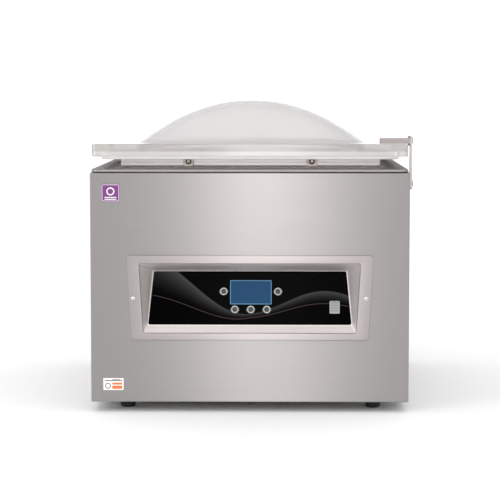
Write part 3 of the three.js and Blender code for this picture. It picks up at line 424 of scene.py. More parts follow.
def rounded_rect(x0, x1, y0, y1, r, corner_steps=6, side_steps=1):
    """Points round a rectangle with rounded corners, anticlockwise."""
    corners = ((x1 - r, y1 - r, 0), (x0 + r, y1 - r, 90), (x0 + r, y0 + r, 180), (x1 - r, y0 + r, 270))
    points = []
    for cx, cy, start in corners:
        for i in range(corner_steps + 1):
            angle = math.radians(start + 90 * i / corner_steps)
            points.append((cx + r * math.cos(angle), cy + r * math.sin(angle)))
        if side_steps > 1:
            here = points[-1]
            nx, ny, begin = corners[(corners.index((cx, cy, start)) + 1) % 4]
            there = (nx + r * math.cos(math.radians(begin)), ny + r * math.sin(math.radians(begin)))
            for i in range(1, side_steps):
                t = i / side_steps
                points.append((here[0] + (there[0] - here[0]) * t, here[1] + (there[1] - here[1]) * t))
    return points


def rounded_polygon(corners, r, steps=6):
    """A polygon with arcs of radius r for corners; the corners are given anticlockwise."""
    points = []
    count = len(corners)
    for i in range(count):
        here = Vector(corners[i])
        before = (Vector(corners[i - 1]) - here).normalized()
        after = (Vector(corners[(i + 1) % count]) - here).normalized()
        half = before.angle(after) / 2
        reach = r / math.tan(half)
        centre = here + (before + after).normalized() * (r / math.sin(half))
        start = here + before * reach - centre
        end = here + after * reach - centre
        sweep = start.angle_signed(end)
        for k in range(steps + 1):
            turned = start.copy()
            turned.rotate(Matrix.Rotation(-sweep * k / steps, 2))
            points.append(tuple(centre + turned))
    return points


def grown(corners, margin):
    """The corners of a quadrilateral moved out by a margin."""
    steps = ((-1, -1), (1, -1), (1, 1), (-1, 1))
    return tuple((x + margin * i, z + margin * j) for (x, z), (i, j) in zip(corners, steps))


def front_ring(corners, r, y):
    return [(x, y, z) for x, z in rounded_polygon(corners, r)]


def raised(points, z):
    return [(x, y, z) for x, y in points]


def trapezium(foot_half_w, low, head_half_w, top):
    """Corners about the middle, anticlockwise from the lower left."""
    return ((-foot_half_w, low), (foot_half_w, low), (head_half_w, top), (-head_half_w, top))


def mirrored(half):
    """An outline from its right half, given anticlockwise from below."""
    left = [(-x, y) for x, y in half if x]
    return left[:1] + list(half) + left[:0:-1]


def plus_outline(arm, half_w):
    corner = ((half_w, -arm), (half_w, -half_w), (arm, -half_w))
    return mirrored(corner + tuple((x, -y) for x, y in reversed(corner)))


def centred_rect(x, y, half_w, half_h, r, corner_steps=6):
    return rounded_rect(x - half_w, x + half_w, y - half_h, y + half_h, r, corner_steps)


def circle(cx, cy, r, steps=32):
    return [
        (cx + r * math.cos(2 * math.pi * i / steps), cy + r * math.sin(2 * math.pi * i / steps))
        for i in range(steps)
    ]


def evaluated_mesh(obj):
    bpy.context.view_layer.update()
    return bpy.data.meshes.new_from_object(obj.evaluated_get(bpy.context.evaluated_depsgraph_get()))


def plate_mesh(outer, holes, low, high, edge=0.0, edge_steps=2):
    """A flat piece with holes and rounded edges, from low to high along Z."""
    curve = bpy.data.curves.new("outline", "CURVE")
    curve.dimensions = "2D"
    curve.fill_mode = "BOTH"
    for loop in [outer] + [list(reversed(hole)) for hole in holes]:
        spline = curve.splines.new("POLY")
        spline.points.add(len(loop) - 1)
        for point, (x, y) in zip(spline.points, loop):
            point.co = (x, y, 0, 1)
        spline.use_cyclic_u = True
    curve.extrude = (high - low) / 2 - edge
    curve.bevel_depth = edge
    curve.bevel_resolution = edge_steps
    curve.offset = -edge
    holder = add_object("outline", curve)
    mesh = evaluated_mesh(holder)
    bpy.data.objects.remove(holder)
    bpy.data.curves.remove(curve)
    mesh.materials.clear()
    placed(mesh, shift(0, 0, (low + high) / 2))
    bm = bmesh.new()
    bm.from_mesh(mesh)
    bmesh.ops.remove_doubles(bm, verts=bm.verts, dist=MERGE_DISTANCE)
    bmesh.ops.recalc_face_normals(bm, faces=bm.faces)
    bm.to_mesh(mesh)
    bm.free()
    return mesh


def tile(box, low, high, edge=0.0, edge_steps=2):
    """A flat rounded rectangle: box is x0, x1, y0, y1 and the corners' radius."""
    return plate_mesh(rounded_rect(*box), [], low, high, edge, edge_steps)


def mesh_of(bm):
    mesh = bpy.data.meshes.new("mesh")
    bm.to_mesh(mesh)
    bm.free()
    return mesh


def ring_stack(rings, close_start=False, close_end=False, loop=False):
    """A skin over rings that all have the same number of (x, y, z) points."""
    bm = bmesh.new()
    rows = [[bm.verts.new(p) for p in ring] for ring in rings]
    pairs = list(zip(rows, rows[1:]))
    if loop:
        pairs.append((rows[-1], rows[0]))
    for a, b in pairs:
        count = len(a)
        for i in range(count):
            j = (i + 1) % count
            bm.faces.new((a[i], a[j], b[j], b[i]))
    for wanted, row in ((close_start, rows[0]), (close_end, rows[-1])):
        if wanted:
            middle = bm.verts.new(sum((v.co for v in row), Vector()) / len(row))
            for i in range(len(row)):
                bm.faces.new((row[i], row[(i + 1) % len(row)], middle))
    bmesh.ops.recalc_face_normals(bm, faces=bm.faces)
    return mesh_of(bm)


def solid(rings):
    return ring_stack(rings, close_start=True, close_end=True)


def prism(outline, low, high):
    """A small flat piece of an outline that can be seen whole from its middle, from low to high along Z."""
    rings = [raised(outline, z) for z in (low, high)]
    return solid(rings)


def turned_mesh(profile, segments=48):
    """A turned piece about Z from (radius, z) points; it is closed at both ends on the axis."""
    rings = [raised(circle(0, 0, r, segments), z) for r, z in profile]
    return solid(rings)


def turned_ring(section):
    """A ring about Z whose closed section is given as (radius, z) points."""
    return ring_stack([raised(circle(0, 0, r, 48), z) for r, z in section], loop=True)


def smooth_path(stops, steps):
    """Points on a smooth curve through all the stops."""
    points = []
    for i in range(len(stops) - 1):
        before = stops[max(i - 1, 0)]
        start, end = stops[i], stops[i + 1]
        after = stops[min(i + 2, len(stops) - 1)]
        for k in range(steps):
            t = k / steps
            points.append(0.5 * (
                2 * start + (end - before) * t + (2 * before - 5 * start + 4 * end - after) * t * t
                + (3 * start - before - 3 * end + after) * t ** 3
            ))
    points.append(stops[-1])
    return points


def swept(path, radius, sides):
    """A round bar along a path; radius(i) is its radius at the path's point i."""
    points = [Vector(p) for p in path]
    rings = []
    side = None
    for i, here in enumerate(points):
        ahead = (points[min(i + 1, len(points) - 1)] - points[max(i - 1, 0)]).normalized()
        if side is None:
            side = ahead.orthogonal().normalized()
        side = (side - ahead * side.dot(ahead)).normalized()
        other = ahead.cross(side)
        r = radius(i)
        rings.append([
            here + r * (side * math.cos(2 * math.pi * k / sides) + other * math.sin(2 * math.pi * k / sides))
            for k in range(sides)
        ])
    return solid(rings)


def joined(meshes):
    """Several meshes as one."""
    bm = bmesh.new()
    for mesh in meshes:
        bm.from_mesh(mesh)
    return mesh_of(bm)


def cut(mesh, cutter):
    """The mesh with the cutter's space taken out of it."""
    body = add_object("cut_body", mesh)
    tool = add_object("cut_tool", cutter)
    boolean = body.modifiers.new("cut", "BOOLEAN")
    boolean.object = tool
    boolean.solver = "EXACT"
    result = evaluated_mesh(body)
    bpy.data.objects.remove(body)
    bpy.data.objects.remove(tool)
    return result


def refine(node, material, bevel):
    """A CAD node kept as it is, with rounded edges, clean shading and its own material."""
    obj = frame["nodes"][node]
    obj.data.materials.clear()
    obj.data.materials.append(material)
    obj.data.polygons.foreach_set("use_smooth", [True] * len(obj.data.polygons))
    weld = obj.modifiers.new("weld", "WELD")
    weld.merge_threshold = 1e-6
    flat = obj.modifiers.new("merge_flats", "DECIMATE")
    flat.decimate_type = "DISSOLVE"
    flat.angle_limit = math.radians(1.5)
    edge = obj.modifiers.new("edges", "BEVEL")
    edge.width = bevel * MM
    edge.segments = 3
    edge.limit_method = "ANGLE"
    edge.angle_limit = math.radians(SHARP_ANGLE)
    normals = obj.modifiers.new("normals", "WEIGHTED_NORMAL")
    normals.keep_sharp = True


# ---------------- cabinet

SHEET = 1.5
PANEL_LOW = 16.5
PANEL_TOP = 385
FRONT_RETURN = 14
REAR = 285
WINDOW_CORNERS = trapezium(174, 124.4, 181, 243.5)
FOLD_R = 1.4
VENT_CENTRES = (-105, 105)
VENT_COUNT = 9
VENT_PITCH = 12
VENT = (2, 190, 245, 1.95)  # half width, foot, head and corner radius
INLET_HOLE = (190, 72, 14, 10.5, 1)  # seen from behind: middle, half sizes and corner radius
SWITCH_HOLE = (146, 72, 10.5, 14, 1)


def fold(radius, steps=4):
    """(inset, depth) pairs round a folded edge, from the face to the side."""
    turns = [math.radians(90 * i / steps) for i in range(steps + 1)]
    return [(radius * (1 - math.sin(a)), radius * (1 - math.cos(a))) for a in turns]


def make_front_panel():
    corners = trapezium(CASE_HALF_W, PANEL_LOW, CASE_HALF_W, PANEL_TOP)
    inner = grown(corners, -SHEET)
    rings = [front_ring(WINDOW_CORNERS, 3, FRONT)]
    for inset, depth in fold(FOLD_R):
        rings.append(front_ring(grown(corners, -inset), 2.0 - inset / 2, FRONT + depth))
    rings += [
        front_ring(corners, 1.3, FRONT + FRONT_RETURN),
        front_ring(inner, 0.6, FRONT + FRONT_RETURN),
        front_ring(inner, 0.6, FRONT + SHEET),
        front_ring(WINDOW_CORNERS, 3, FRONT + SHEET),
    ]
    mesh = ring_stack(rings, loop=True)
    piece("front_panel_sheet", mesh, TO_METRES, steel, ["front_panel"])


def make_rear_panel():
    half_w, low, top, r = VENT
    holes = [centred_rect(*INLET_HOLE), centred_rect(*SWITCH_HOLE)]
    for centre in VENT_CENTRES:
        for i in range(VENT_COUNT):
            x = centre + (i - (VENT_COUNT - 1) / 2) * VENT_PITCH
            holes.append(rounded_rect(x - half_w, x + half_w, low, top, r))
    outer = rounded_rect(-CASE_HALF_W, CASE_HALF_W, PANEL_LOW, PANEL_TOP, 1)
    mesh = plate_mesh(outer, holes, -SHEET, 0, 0.3)
    at = TO_METRES @ shift(0, REAR, 0) @ REARWARDS
    piece("rear_panel_sheet", mesh, at, steel, ["rear_panel"])


DECK_HALF_W = 252.8
DECK_LOW = 386.5
CHAMBER = (-221, 221, -240, 204)
CHAMBER_R = 12


def flat_ring(x0, x1, y0, y1, r, z, inset=0.0):
    points = rounded_rect(x0 + inset, x1 - inset, y0 + inset, y1 - inset, max(r - inset, 0.3), 8)
    return raised(points, z)


def make_deck():
    """The deck with a rolled outer edge, a rounded chamber mouth and a folded skirt."""
    outer = (-DECK_HALF_W, DECK_HALF_W, FRONT, REAR, 10)
    mouth = (*CHAMBER, CHAMBER_R)
    rings = [
        flat_ring(*mouth, DECK_TOP - SHEET + 0.2),
        flat_ring(*mouth, DECK_TOP - 1.0),
        flat_ring(*mouth, DECK_TOP - 0.3, -0.3),
        flat_ring(*mouth, DECK_TOP, -1.0),
    ]
    rings += [flat_ring(*outer, DECK_TOP - drop, inset) for inset, drop in fold(2.2, 5)]
    rings += [
        flat_ring(*outer, DECK_LOW + 0.3),
        flat_ring(*outer, DECK_LOW, 0.3),
        flat_ring(*outer, DECK_LOW, 2.7),
        flat_ring(*outer, DECK_LOW + 0.3, 3.0),
        flat_ring(*outer, DECK_TOP - SHEET, 3.0),
        flat_ring(*mouth, DECK_TOP - SHEET, -0.3),
    ]
    mesh = ring_stack(rings, loop=True)
    piece("deck_plate_pressing", mesh, TO_METRES, deck_steel, ["deck_plate"])


FOOT_PROFILE = (
    (8.4, 0), (9.4, 0.3), (10.6, 1.2), (11.6, 2.6), (12.0, 4.2), (12.5, 7.5), (13.0, 11.0),
    (13.4, 13.6), (13.4, 14.8), (13.0, 15.8), (12.4, 16.2), (7.0, 16.2), (7.0, 18.2),
)
FOOT_X = 200
FOOT_Y = {"front": -235, "rear": 230}


def make_feet():
    for end, y in FOOT_Y.items():
        for side, hand in SIDES:
            name = f"foot_{end}_{side}"
            at = TO_METRES @ shift(hand * FOOT_X, y, 0)
            piece(f"{name}_turned", turned_mesh(FOOT_PROFILE), at, rubber, [name])


def make_screw(name, at, body, r=3.4, height=2.0, replaces=()):
    """A pan-head screw standing on z = 0, with a dark cross on its head: painted shade for the cross recess.
    """
    profile = [(r, 0), (r, height * 0.25)]
    for angle in (15, 30, 45, 60, 72):
        rise = math.radians(angle)
        profile.append((r * math.cos(rise), height * (0.25 + 0.75 * math.sin(rise))))
    cross = prism(plus_outline(r * 0.55, r * 0.13), height * 0.9, height * 1.01)
    piece(name, turned_mesh(profile, 24), at, bright_zinc, replaces, body)
    piece(f"{name}_recess", cross, at, recess_shade, body=body, weighted=False)


REAR_SCREW_X = (-240, -80, 80, 240)
REAR_SCREW_Z = (30, 372)
REAR_SIDE_SCREWS = ((-240, 200), (240, 200))


def make_rear_screws():
    spots = [(x, z) for x in REAR_SCREW_X for z in REAR_SCREW_Z]
    spots += REAR_SIDE_SCREWS
    for i, (x, z) in enumerate(spots):
        at = TO_METRES @ shift(x, REAR + 0.05, z) @ REARWARDS
        make_screw(f"rear_screw_{i + 1}", at, "cabinet", 3.2, 1.8)


refine("left_side_panel", steel, 0.5)
refine("right_side_panel", steel, 0.5)
refine("base_plate", zinc, 0.4)
make_front_panel()
make_rear_panel()
make_deck()
make_feet()
make_rear_screws()

# ---------------- chamber and seal bar

TANK_FLOOR = 283
TANK_WALL = 2
TANK_LIP_TOP = 389.2
FLOOR_FILLET = 9
FLOOR_MIDDLE_INSET = 60
PORT_Z = 322
PORT_R = 16.5
BAR_Y = -214
LIFT_X = 150
LIFT_PROFILE = (
    (19.0, 283.3), (20.0, 284.3), (20.0, 296.0), (19.3, 296.7), (19.3, 299.3), (20.0, 300.0),
    (20.0, 325.5), (19.5, 327.0), (14.6, 333.4), (13.6, 334.0), (6.6, 334.0), (6.6, 301.0),
)
POST_PROFILE = ((5.2, 308), (6, 308.8), (6, 338.8), (6.6, 339.5), (6.6, 340.2))
BAR_HALF_L = 205
BAND_HALF_L = 199
BAR_OUTLINE = mirrored(
    ((8, 340), (8, 351), (7, 352), (7, 354), (8, 355), (8, 362.5), (5.5, 364.5), (5.5, 369.5))
)
BAND_OUTLINE = mirrored(((4.5, 369.8), (4.5, 370.3), (1.7, 370.6), (1.2, 371)))


def make_tank():
    """A deep-drawn tub with a flange, a rounded floor and the suction port cut through its rear wall."""
    room = (CHAMBER[0] + 1, CHAMBER[1] - 1, CHAMBER[2] + 1, CHAMBER[3] - 1, 12)
    lip = (CHAMBER[0] - 12, CHAMBER[1] + 12, CHAMBER[2] - 12, CHAMBER[3] + 12, 24)
    rings = [flat_ring(*room, TANK_FLOOR, FLOOR_MIDDLE_INSET)]
    rings += [flat_ring(*room, TANK_FLOOR + depth, inset) for inset, depth in fold(FLOOR_FILLET, 6)]
    rings += [
        flat_ring(*room, TANK_LIP_TOP - 2.5),
        flat_ring(*room, TANK_LIP_TOP - 0.6, -0.2),
        flat_ring(*room, TANK_LIP_TOP, -0.8),
        flat_ring(*lip, TANK_LIP_TOP, 0.3),
        flat_ring(*lip, TANK_LIP_TOP - 0.3),
        flat_ring(*lip, TANK_LIP_TOP - TANK_WALL),
        flat_ring(*room, TANK_LIP_TOP - TANK_WALL, -TANK_WALL),
    ]
    for inset, depth in reversed(fold(FLOOR_FILLET + TANK_WALL, 6)):
        rings.append(flat_ring(*room, TANK_FLOOR - TANK_WALL + depth, inset - TANK_WALL))
    rings.append(flat_ring(*room, TANK_FLOOR - TANK_WALL, FLOOR_MIDDLE_INSET))
    mesh = solid(rings)
    drill = placed(turned_mesh(((PORT_R, -10), (PORT_R, 10))), shift(0, 203, PORT_Z) @ FACING)
    piece("chamber_tank_drawn", cut(mesh, drill), TO_METRES, tank_painted_light_steel, ["chamber_tank"])


def make_port_cap():
    holes = [circle(9 * math.cos(a), 9 * math.sin(a), 2.4, 20) for a in (i * math.pi / 3 for i in range(6))]
    cap = plate_mesh(circle(0, 0, 24, 64), holes, 0, 3, 0.8)
    rim = turned_ring(((24, 0.3), (24, 2.6), (23.4, 3.4), (22.2, 3.4), (21.6, 2.6), (21.6, 0.3)))
    tube = turned_ring(((16, -11), (16, 0.5), (14, 0.5), (14, -11)))
    at = TO_METRES @ shift(0, 202.7, PORT_Z) @ FACING
    mesh = joined([cap, rim, tube])
    piece("suction_port_grille", mesh, at, bracket_steel, ["suction_port_cap"])


def make_lifts():
    for side, hand in SIDES:
        name = f"lift_cylinder_{side}"
        at = TO_METRES @ shift(hand * LIFT_X, BAR_Y, 0)
        mesh = turned_mesh(LIFT_PROFILE)
        piece(f"{name}_turned", mesh, at, black_plastic, [name])


def make_seal_bar():
    at_bar = shift(0, BAR_Y, 0) @ SIDEWAYS
    meshes = [placed(plate_mesh(BAR_OUTLINE, [], -BAR_HALF_L, BAR_HALF_L, 0.4), at_bar)]
    for _, hand in SIDES:
        meshes.append(placed(turned_mesh(POST_PROFILE, 32), shift(hand * LIFT_X, BAR_Y, 0)))
    piece("seal_bar_body", joined(meshes), TO_METRES, aluminium, ["seal_bar"], "seal_bar")
    band = plate_mesh(BAND_OUTLINE, [], -BAND_HALF_L, BAND_HALF_L, 0.1, 1)
    piece("heating_band_taped", band, TO_METRES @ at_bar, tape, ["heating_band"], "seal_bar")


make_tank()
make_port_cap()
make_lifts()
make_seal_bar()

# ---------------- lid

PLATE_LOW = 396
PLATE_TOP = 416
PLATE = (-252.5, 252.5, -290, 267, 8)  # x0, x1, y0, y1, corner radius
PLATE_EDGE_R = 1.2
DOME_Y = -8
DOME_HALF = (195, 199)
DOME_RISE = 74.7
DOME_POWER = 2.08
DOME_SQUARENESS = 3
DOME_FILLET = 5
WALL_INSET = 3
WALL_DROP = 6
GROOVE_TOP = 404
EDGE_NORMAL = 0.8  # the lid's edge is made of the outermost faces whose normals' Z is under this
GROOVE_OUTER = (-240.3, 240.3, -277.3, 238.3, 29)
GROOVE_INNER = (-229.7, 229.7, -266.7, 227.7, 22)


def reach_superellipse(direction, half_x, half_y):
    """How far a ray from the dome's middle runs to the dome's edge."""
    across = abs(direction.x / half_x) ** DOME_SQUARENESS + abs(direction.y / half_y) ** DOME_SQUARENESS
    return across ** (-1 / DOME_SQUARENESS)


def reach_rectangle(direction, x0, x1, y0, y1, r, inset=0.0):
    """How far a ray from the dome's middle runs to a rounded rectangle's edge."""
    half = (x1 - x0) / 2 - inset
    top = (y1 if direction.y > 0 else -y0) - (DOME_Y if direction.y > 0 else -DOME_Y) - inset
    r = max(r - inset, 0.5)
    dx, dy = abs(direction.x), abs(direction.y)
    reach = min(half / dx if dx > 1e-9 else 1e9, top / dy if dy > 1e-9 else 1e9)
    corner = Vector((half - r, top - r))
    if reach * dx > corner.x and reach * dy > corner.y:
        along = dx * corner.x + dy * corner.y
        reach = along + math.sqrt(max(along * along - corner.length_squared + r * r, 0))
    return reach


def dome_height(rho):
    """Height over the plate, with a fillet where the dome runs out into it."""
    fall = DOME_RISE * (1 - rho ** DOME_POWER)
    return (fall + math.sqrt(fall * fall + DOME_FILLET ** 2)) / 2


def lid_mesh():
    outline = rounded_rect(PLATE[0], PLATE[1], PLATE[2] - DOME_Y, PLATE[3] - DOME_Y, PLATE[4], 5, 30)
    directions = [Vector(p).normalized() for p in outline]

    def ring(reach, z):
        return [(d.x * reach(d), DOME_Y + d.y * reach(d), z) for d in directions]

    def plate_ring(z, inset=0.0, shape=PLATE):
        return ring(lambda d: reach_rectangle(d, *shape, inset), z)

    def dome_ring(rho, z, inset=0.0):
        return ring(lambda d: rho * reach_superellipse(d, DOME_HALF[0] - inset, DOME_HALF[1] - inset), z)

    # the rings stand closer together where the dome runs out into the plate
    rho_outer = [0.04] + [i / 20 for i in range(2, 18)] + [0.875 + i * 0.015 for i in range(16)]
    run_out = dome_height(rho_outer[-1])
    rings = []
    for rho in rho_outer:
        settle = run_out * max(0.0, (rho - 0.95) / (rho_outer[-1] - 0.95))
        rings.append(dome_ring(rho, PLATE_TOP + dome_height(rho) - settle))
    rings += [plate_ring(PLATE_TOP, inset) for inset in (12, 1.5)]
    rounding = fold(PLATE_EDGE_R, 3)
    rings += [plate_ring(PLATE_TOP - depth, inset) for inset, depth in rounding[1:]]
    rings += [plate_ring(PLATE_LOW + depth, inset) for inset, depth in reversed(rounding)]
    rings += [
        plate_ring(PLATE_LOW, 0, GROOVE_OUTER),
        plate_ring(GROOVE_TOP, 0, GROOVE_OUTER),
        plate_ring(GROOVE_TOP, 0, GROOVE_INNER),
        plate_ring(PLATE_LOW, 0, GROOVE_INNER),
        dome_ring(1.0, PLATE_LOW, WALL_INSET - 1.5),
        dome_ring(1.0, PLATE_LOW + 0.4, WALL_INSET - 0.4),
        dome_ring(1.0, PLATE_LOW + 1.5, WALL_INSET),
        dome_ring(1.0, PLATE_TOP - WALL_DROP - 1, WALL_INSET),
    ]
    for rho in [0.99, 0.97] + [0.95 - i * 0.05 for i in range(18)] + [0.04]:
        height = DOME_RISE * (1 - rho ** DOME_POWER)
        rings.append(dome_ring(rho, PLATE_TOP - WALL_DROP + height, WALL_INSET))
    return solid(rings)


def make_lid():
    mesh = lid_mesh()
    piece("lid_moulding", mesh, LID_TO_METRES, acrylic, ["lid_dome"], "lid", 35)
    mesh.materials.append(acrylic_edge)
    drawn = LID_TO_METRES.inverted()
    level = Matrix.Rotation(LID_REST, 3, "X")
    for face in mesh.polygons:
        centre = drawn @ face.center
        on_side = abs(centre.x) > PLATE[1] - 1
        on_end = centre.y < PLATE[2] + 1 or centre.y > PLATE[3] - 1
        if abs((level @ face.normal).z) < EDGE_NORMAL and (on_side or on_end):
            face.material_index = 1


GASKET_MIDDLE = (-235, 235, -272, 233, 25.5)
GASKET_SECTION = mirrored((
    (4.6, 403.6), (4.9, 403.2), (4.9, 400.4), (4.3, 400), (4.3, 399.2), (4.9, 398.8), (4.9, 395.6),
    (4.6, 393.6), (3.8, 392.2), (2.4, 391.5), (0, 391.35),
))
COUNTER_HALF_L = 210
STRIP_HALF_L = 206
COUNTER_OUTLINE = mirrored((
    (8.6, 383.2), (8.6, 381.8), (12, 381.8), (12, 385), (11.3, 385.4), (11.3, 386.4), (12, 386.8),
    (12, 395.7),
))
STRIP_OUTLINE = mirrored(((3, 379), (6.6, 379.4), (8, 380.6), (8, 383)))
HOLDER_X = 100
HOLDER_BLOCK = (-8.5, 8.5, 379, 393, 2.5)  # x0, x1, foot, head, corner radius
HOLDER_T = 7
HOLDER_BOLT_Z = 388
# the bolt in its collar, as (radius, height over the holder's back)
COLLAR_SECTION = ((7.4, 6.8), (7.4, 7.9), (7.0, 8.4), (5.4, 8.4), (4.8, 7.9), (4.8, 7.0))
# a dark disc that fills the ring between the bolt and the collar: painted shade in the gap round the bolt
GAP_SHADE_PROFILE = ((4.8, 6.9), (4.8, 7.3), (2.2, 7.3))
BOLT_PROFILE = ((2.5, 7.1), (2.5, 9.3), (2.2, 9.7), (1.3, 9.7), (1.2, 9.0))


def make_gasket():
    x0, x1, y0, y1, r = GASKET_MIDDLE
    rings = []
    for out, z in GASKET_SECTION:
        rings.append(raised(rounded_rect(x0 - out, x1 + out, y0 - out, y1 + out, r + out, 10), z))
    mesh = ring_stack(rings, loop=True)
    piece("lid_gasket_seal", mesh, LID_TO_METRES, silicone, ["lid_gasket"], "lid", 50)


def make_counter_bar():
    at = LID_TO_METRES @ shift(0, BAR_Y, 0) @ SIDEWAYS
    bar = plate_mesh(COUNTER_OUTLINE, [], -COUNTER_HALF_L, COUNTER_HALF_L, 0.35)
    piece("counter_bar_body", bar, at, bar_steel, ["counter_bar"], "lid")
    strip = plate_mesh(STRIP_OUTLINE, [], -STRIP_HALF_L, STRIP_HALF_L, 0.4)
    piece("counter_bar_strip", strip, at, silicone, ["counter_bar_silicone"], "lid")


def make_holders():
    for side, hand in SIDES:
        name = f"counter_bar_holder_{side}"
        at = LID_TO_METRES @ shift(hand * HOLDER_X, BAR_Y - 12.3, 0) @ FACING
        bolt_at = at @ shift(0, HOLDER_BOLT_Z, 0)
        block = tile(HOLDER_BLOCK, 0, HOLDER_T, 1.0, 3)
        piece(f"{name}_block", block, at, holder_zinc, [name], "lid")
        for part, mesh, material in (
            ("collar", turned_ring(COLLAR_SECTION), collar_alloy),
            ("gap_shade", turned_mesh(GAP_SHADE_PROFILE, 32), hole_shade),
            ("bolt", turned_mesh(BOLT_PROFILE, 32), zinc),
        ):
            piece(f"{name}_{part}", mesh, bolt_at, material, body="lid")


make_lid()
make_gasket()
make_counter_bar()
make_holders()

# ---------------- latch

PIVOT = Vector(JOINTS["latch_swing"]["pos_m"])
STRAP_X = 259.8
STRAP_T = 3.6
STRAP_OUTLINE = (
    (-6, -77), (-4, -79), (6, -79), (8, -77.5), (8, -74.7), (-1, -74.7), (-1, -54.5), (6, -49.5), (6, 4),
    (4, 7), (-4, 7), (-6, 4),
)
RIVET_PROFILE = ((2.9, -4), (3, -3.8), (3, 3.4), (5, 3.5), (5, 4.3), (4.4, 4.9), (3.0, 5.2), (1.2, 5.3))
STUD_PROFILE = (
    (4.6, 0), (5, 0.4), (5, 1.6), (4.6, 2), (2.5, 2.1), (2.5, 8.9), (4.2, 9), (4.5, 9.4), (4.5, 10.1),
    (4.1, 10.6), (2.4, 10.6), (2.2, 10.0),
)


def make_latch():
    refine("latch_bracket", bracket_steel, 0.7)
    pivot_at = shift(HOME.translation.x, PIVOT.y, PIVOT.z) @ Matrix.Scale(MM, 4)
    strap = plate_mesh(rounded_polygon(STRAP_OUTLINE, 0.7, 3), [], STRAP_X, STRAP_X + STRAP_T, 0.5)
    rivet = placed(turned_mesh(RIVET_PROFILE, 32), shift(STRAP_X, 0, 0) @ ACROSS)
    mesh = joined([placed(strap, SIDEWAYS), rivet])
    piece("latch_strap_plate", mesh, pivot_at, strap_steel, ["latch_strap"], "latch")
    low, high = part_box("latch_stud")
    at = shift(low.x, (low.y + high.y) / 2, (low.z + high.z) / 2) @ ACROSS @ Matrix.Scale(MM, 4)
    piece("latch_stud_turned", turned_mesh(STUD_PROFILE, 32), at, zinc, ["latch_stud"])


make_latch()

# ---------------- hinges

HINGE_X = 150
# the screws' places: across from the hinge's middle, then Y and Z
ARM_SCREW = (13, 240, 419.3)
BRACKET_SCREW = (29.5, 270, 394)
SPRING_START = {"left": 9.5, "right": -20.5}
SPRING_LENGTH = 10.56
SPRING_R = 4.8
SPRING_TURNS = 4.4
SPRING_STEPS = 160
SPRING_WIRE_R = 0.9


def spring_point(start, share):
    """A point of the coil at a share of its length."""
    angle = share * SPRING_TURNS * 2 * math.pi
    return (start + share * SPRING_LENGTH, SPRING_R * math.cos(angle), SPRING_R * math.sin(angle))


def make_hinges():
    for side, hand in SIDES:
        refine(f"hinge_bracket_{side}", bracket_steel, 0.5)
        refine(f"hinge_arm_{side}", bracket_steel, 0.5)
        refine(f"hinge_pin_{side}", zinc, 0.4)
        for base, kind, place, body, r in (
            (LID_TO_METRES, "arm", ARM_SCREW, "lid", 3.6),
            (TO_METRES, "bracket", BRACKET_SCREW, "cabinet", 3.4),
        ):
            across, y, z = place
            for i, x in enumerate((-across, across)):
                at = base @ shift(hand * HINGE_X + x, y, z)
                make_screw(f"hinge_{kind}_{side}_screw_{i + 1}", at, body, r)
        name = f"lid_spring_{side}"
        start = hand * HINGE_X + SPRING_START[side]
        path = [spring_point(start, i / SPRING_STEPS) for i in range(SPRING_STEPS + 1)]
        at = shift(HOME.translation.x, HINGE.y, HINGE.z) @ Matrix.Scale(MM, 4)
        piece(f"{name}_coil", swept(path, lambda i: SPRING_WIRE_R, 10), at, zinc, [name])


make_hinges()

# ---------------- control recess

FLANGE_CORNERS = ((-189.5, 117), (190.5, 117), (198.5, 253), (-197, 253))
MOUTH_CORNERS = trapezium(170, 128.4, 177, 239.5)
PANEL_CORNERS = trapezium(FOOT_HALF_W, SLOPE_FOOT.z, HEAD_HALF_W, SLOPE_HEAD.z)
FLANGE_FACE = FRONT - 2.2
BEZEL_SCREW = (186.5, 184)
TRAY_FROM = CASE_BOX[0].y + 0.5 * MM  # the pressing is the tray behind this plane, and the flange before it
# rings of the pressing in order: corners, margin, corner radius and depth from the flange's face
MOUTH_RINGS = (
    (MOUTH_CORNERS, 1.6, 4.0, 0.0),
    (MOUTH_CORNERS, 0.9, 3.4, 0.25),
    (MOUTH_CORNERS, 0.3, 3.0, 0.9),
)
FLANGE_RINGS = (
    (MOUTH_CORNERS, 1.4, 3.6, 1.9),
    (FLANGE_CORNERS, -0.4, 5.6, 1.9),
    (FLANGE_CORNERS, 0.0, 6.0, 1.5),
    (FLANGE_CORNERS, 0.0, 6.0, 0.7),
    (FLANGE_CORNERS, -0.25, 5.8, 0.2),
    (FLANGE_CORNERS, -0.8, 5.4, 0.0),
)
# rings of the recess: share of the way to the panel, margin, corner radius and distance out of the panel
TRAY_RINGS = (
    (0.0, 0.0, 3.0, 0.0), (0.2, 0.0, 3.0, 0.0), (0.5, 0.1, 3.2, 0.0), (0.8, 0.2, 3.4, 0.0),
    (0.93, 0.5, 3.8, 0.0), (0.955, 0.4, 3.8, 0.0), (0.97, -0.1, 3.5, 0.0), (0.985, -0.5, 3.2, 0.0),
    (0.998, -0.5, 3.2, 0.0), (1.0, 1.2, 4.2, -0.4), (0.9, 2.2, 4.4, 0.0), (0.0, 1.2, 3.6, 0.0),
)


def recess_ring(share, margin, r, out):
    corners = grown(tuple(
        tuple(a + (b - a) * share for a, b in zip(mouth, panel))
        for mouth, panel in zip(MOUTH_CORNERS, PANEL_CORNERS)
    ), margin)
    y_low = FRONT + (SLOPE_FOOT.y - FRONT) * share
    y_high = FRONT + (SLOPE_HEAD.y - FRONT) * share
    z_low, z_high = corners[0][1], corners[2][1]
    return [
        (x, y_low + (y_high - y_low) * (z - z_low) / (z_high - z_low) - out, z)
        for x, z in rounded_polygon(corners, r)
    ]


def flange_rings(table):
    return [front_ring(grown(corners, margin), r, FLANGE_FACE + depth) for corners, margin, r, depth in table]


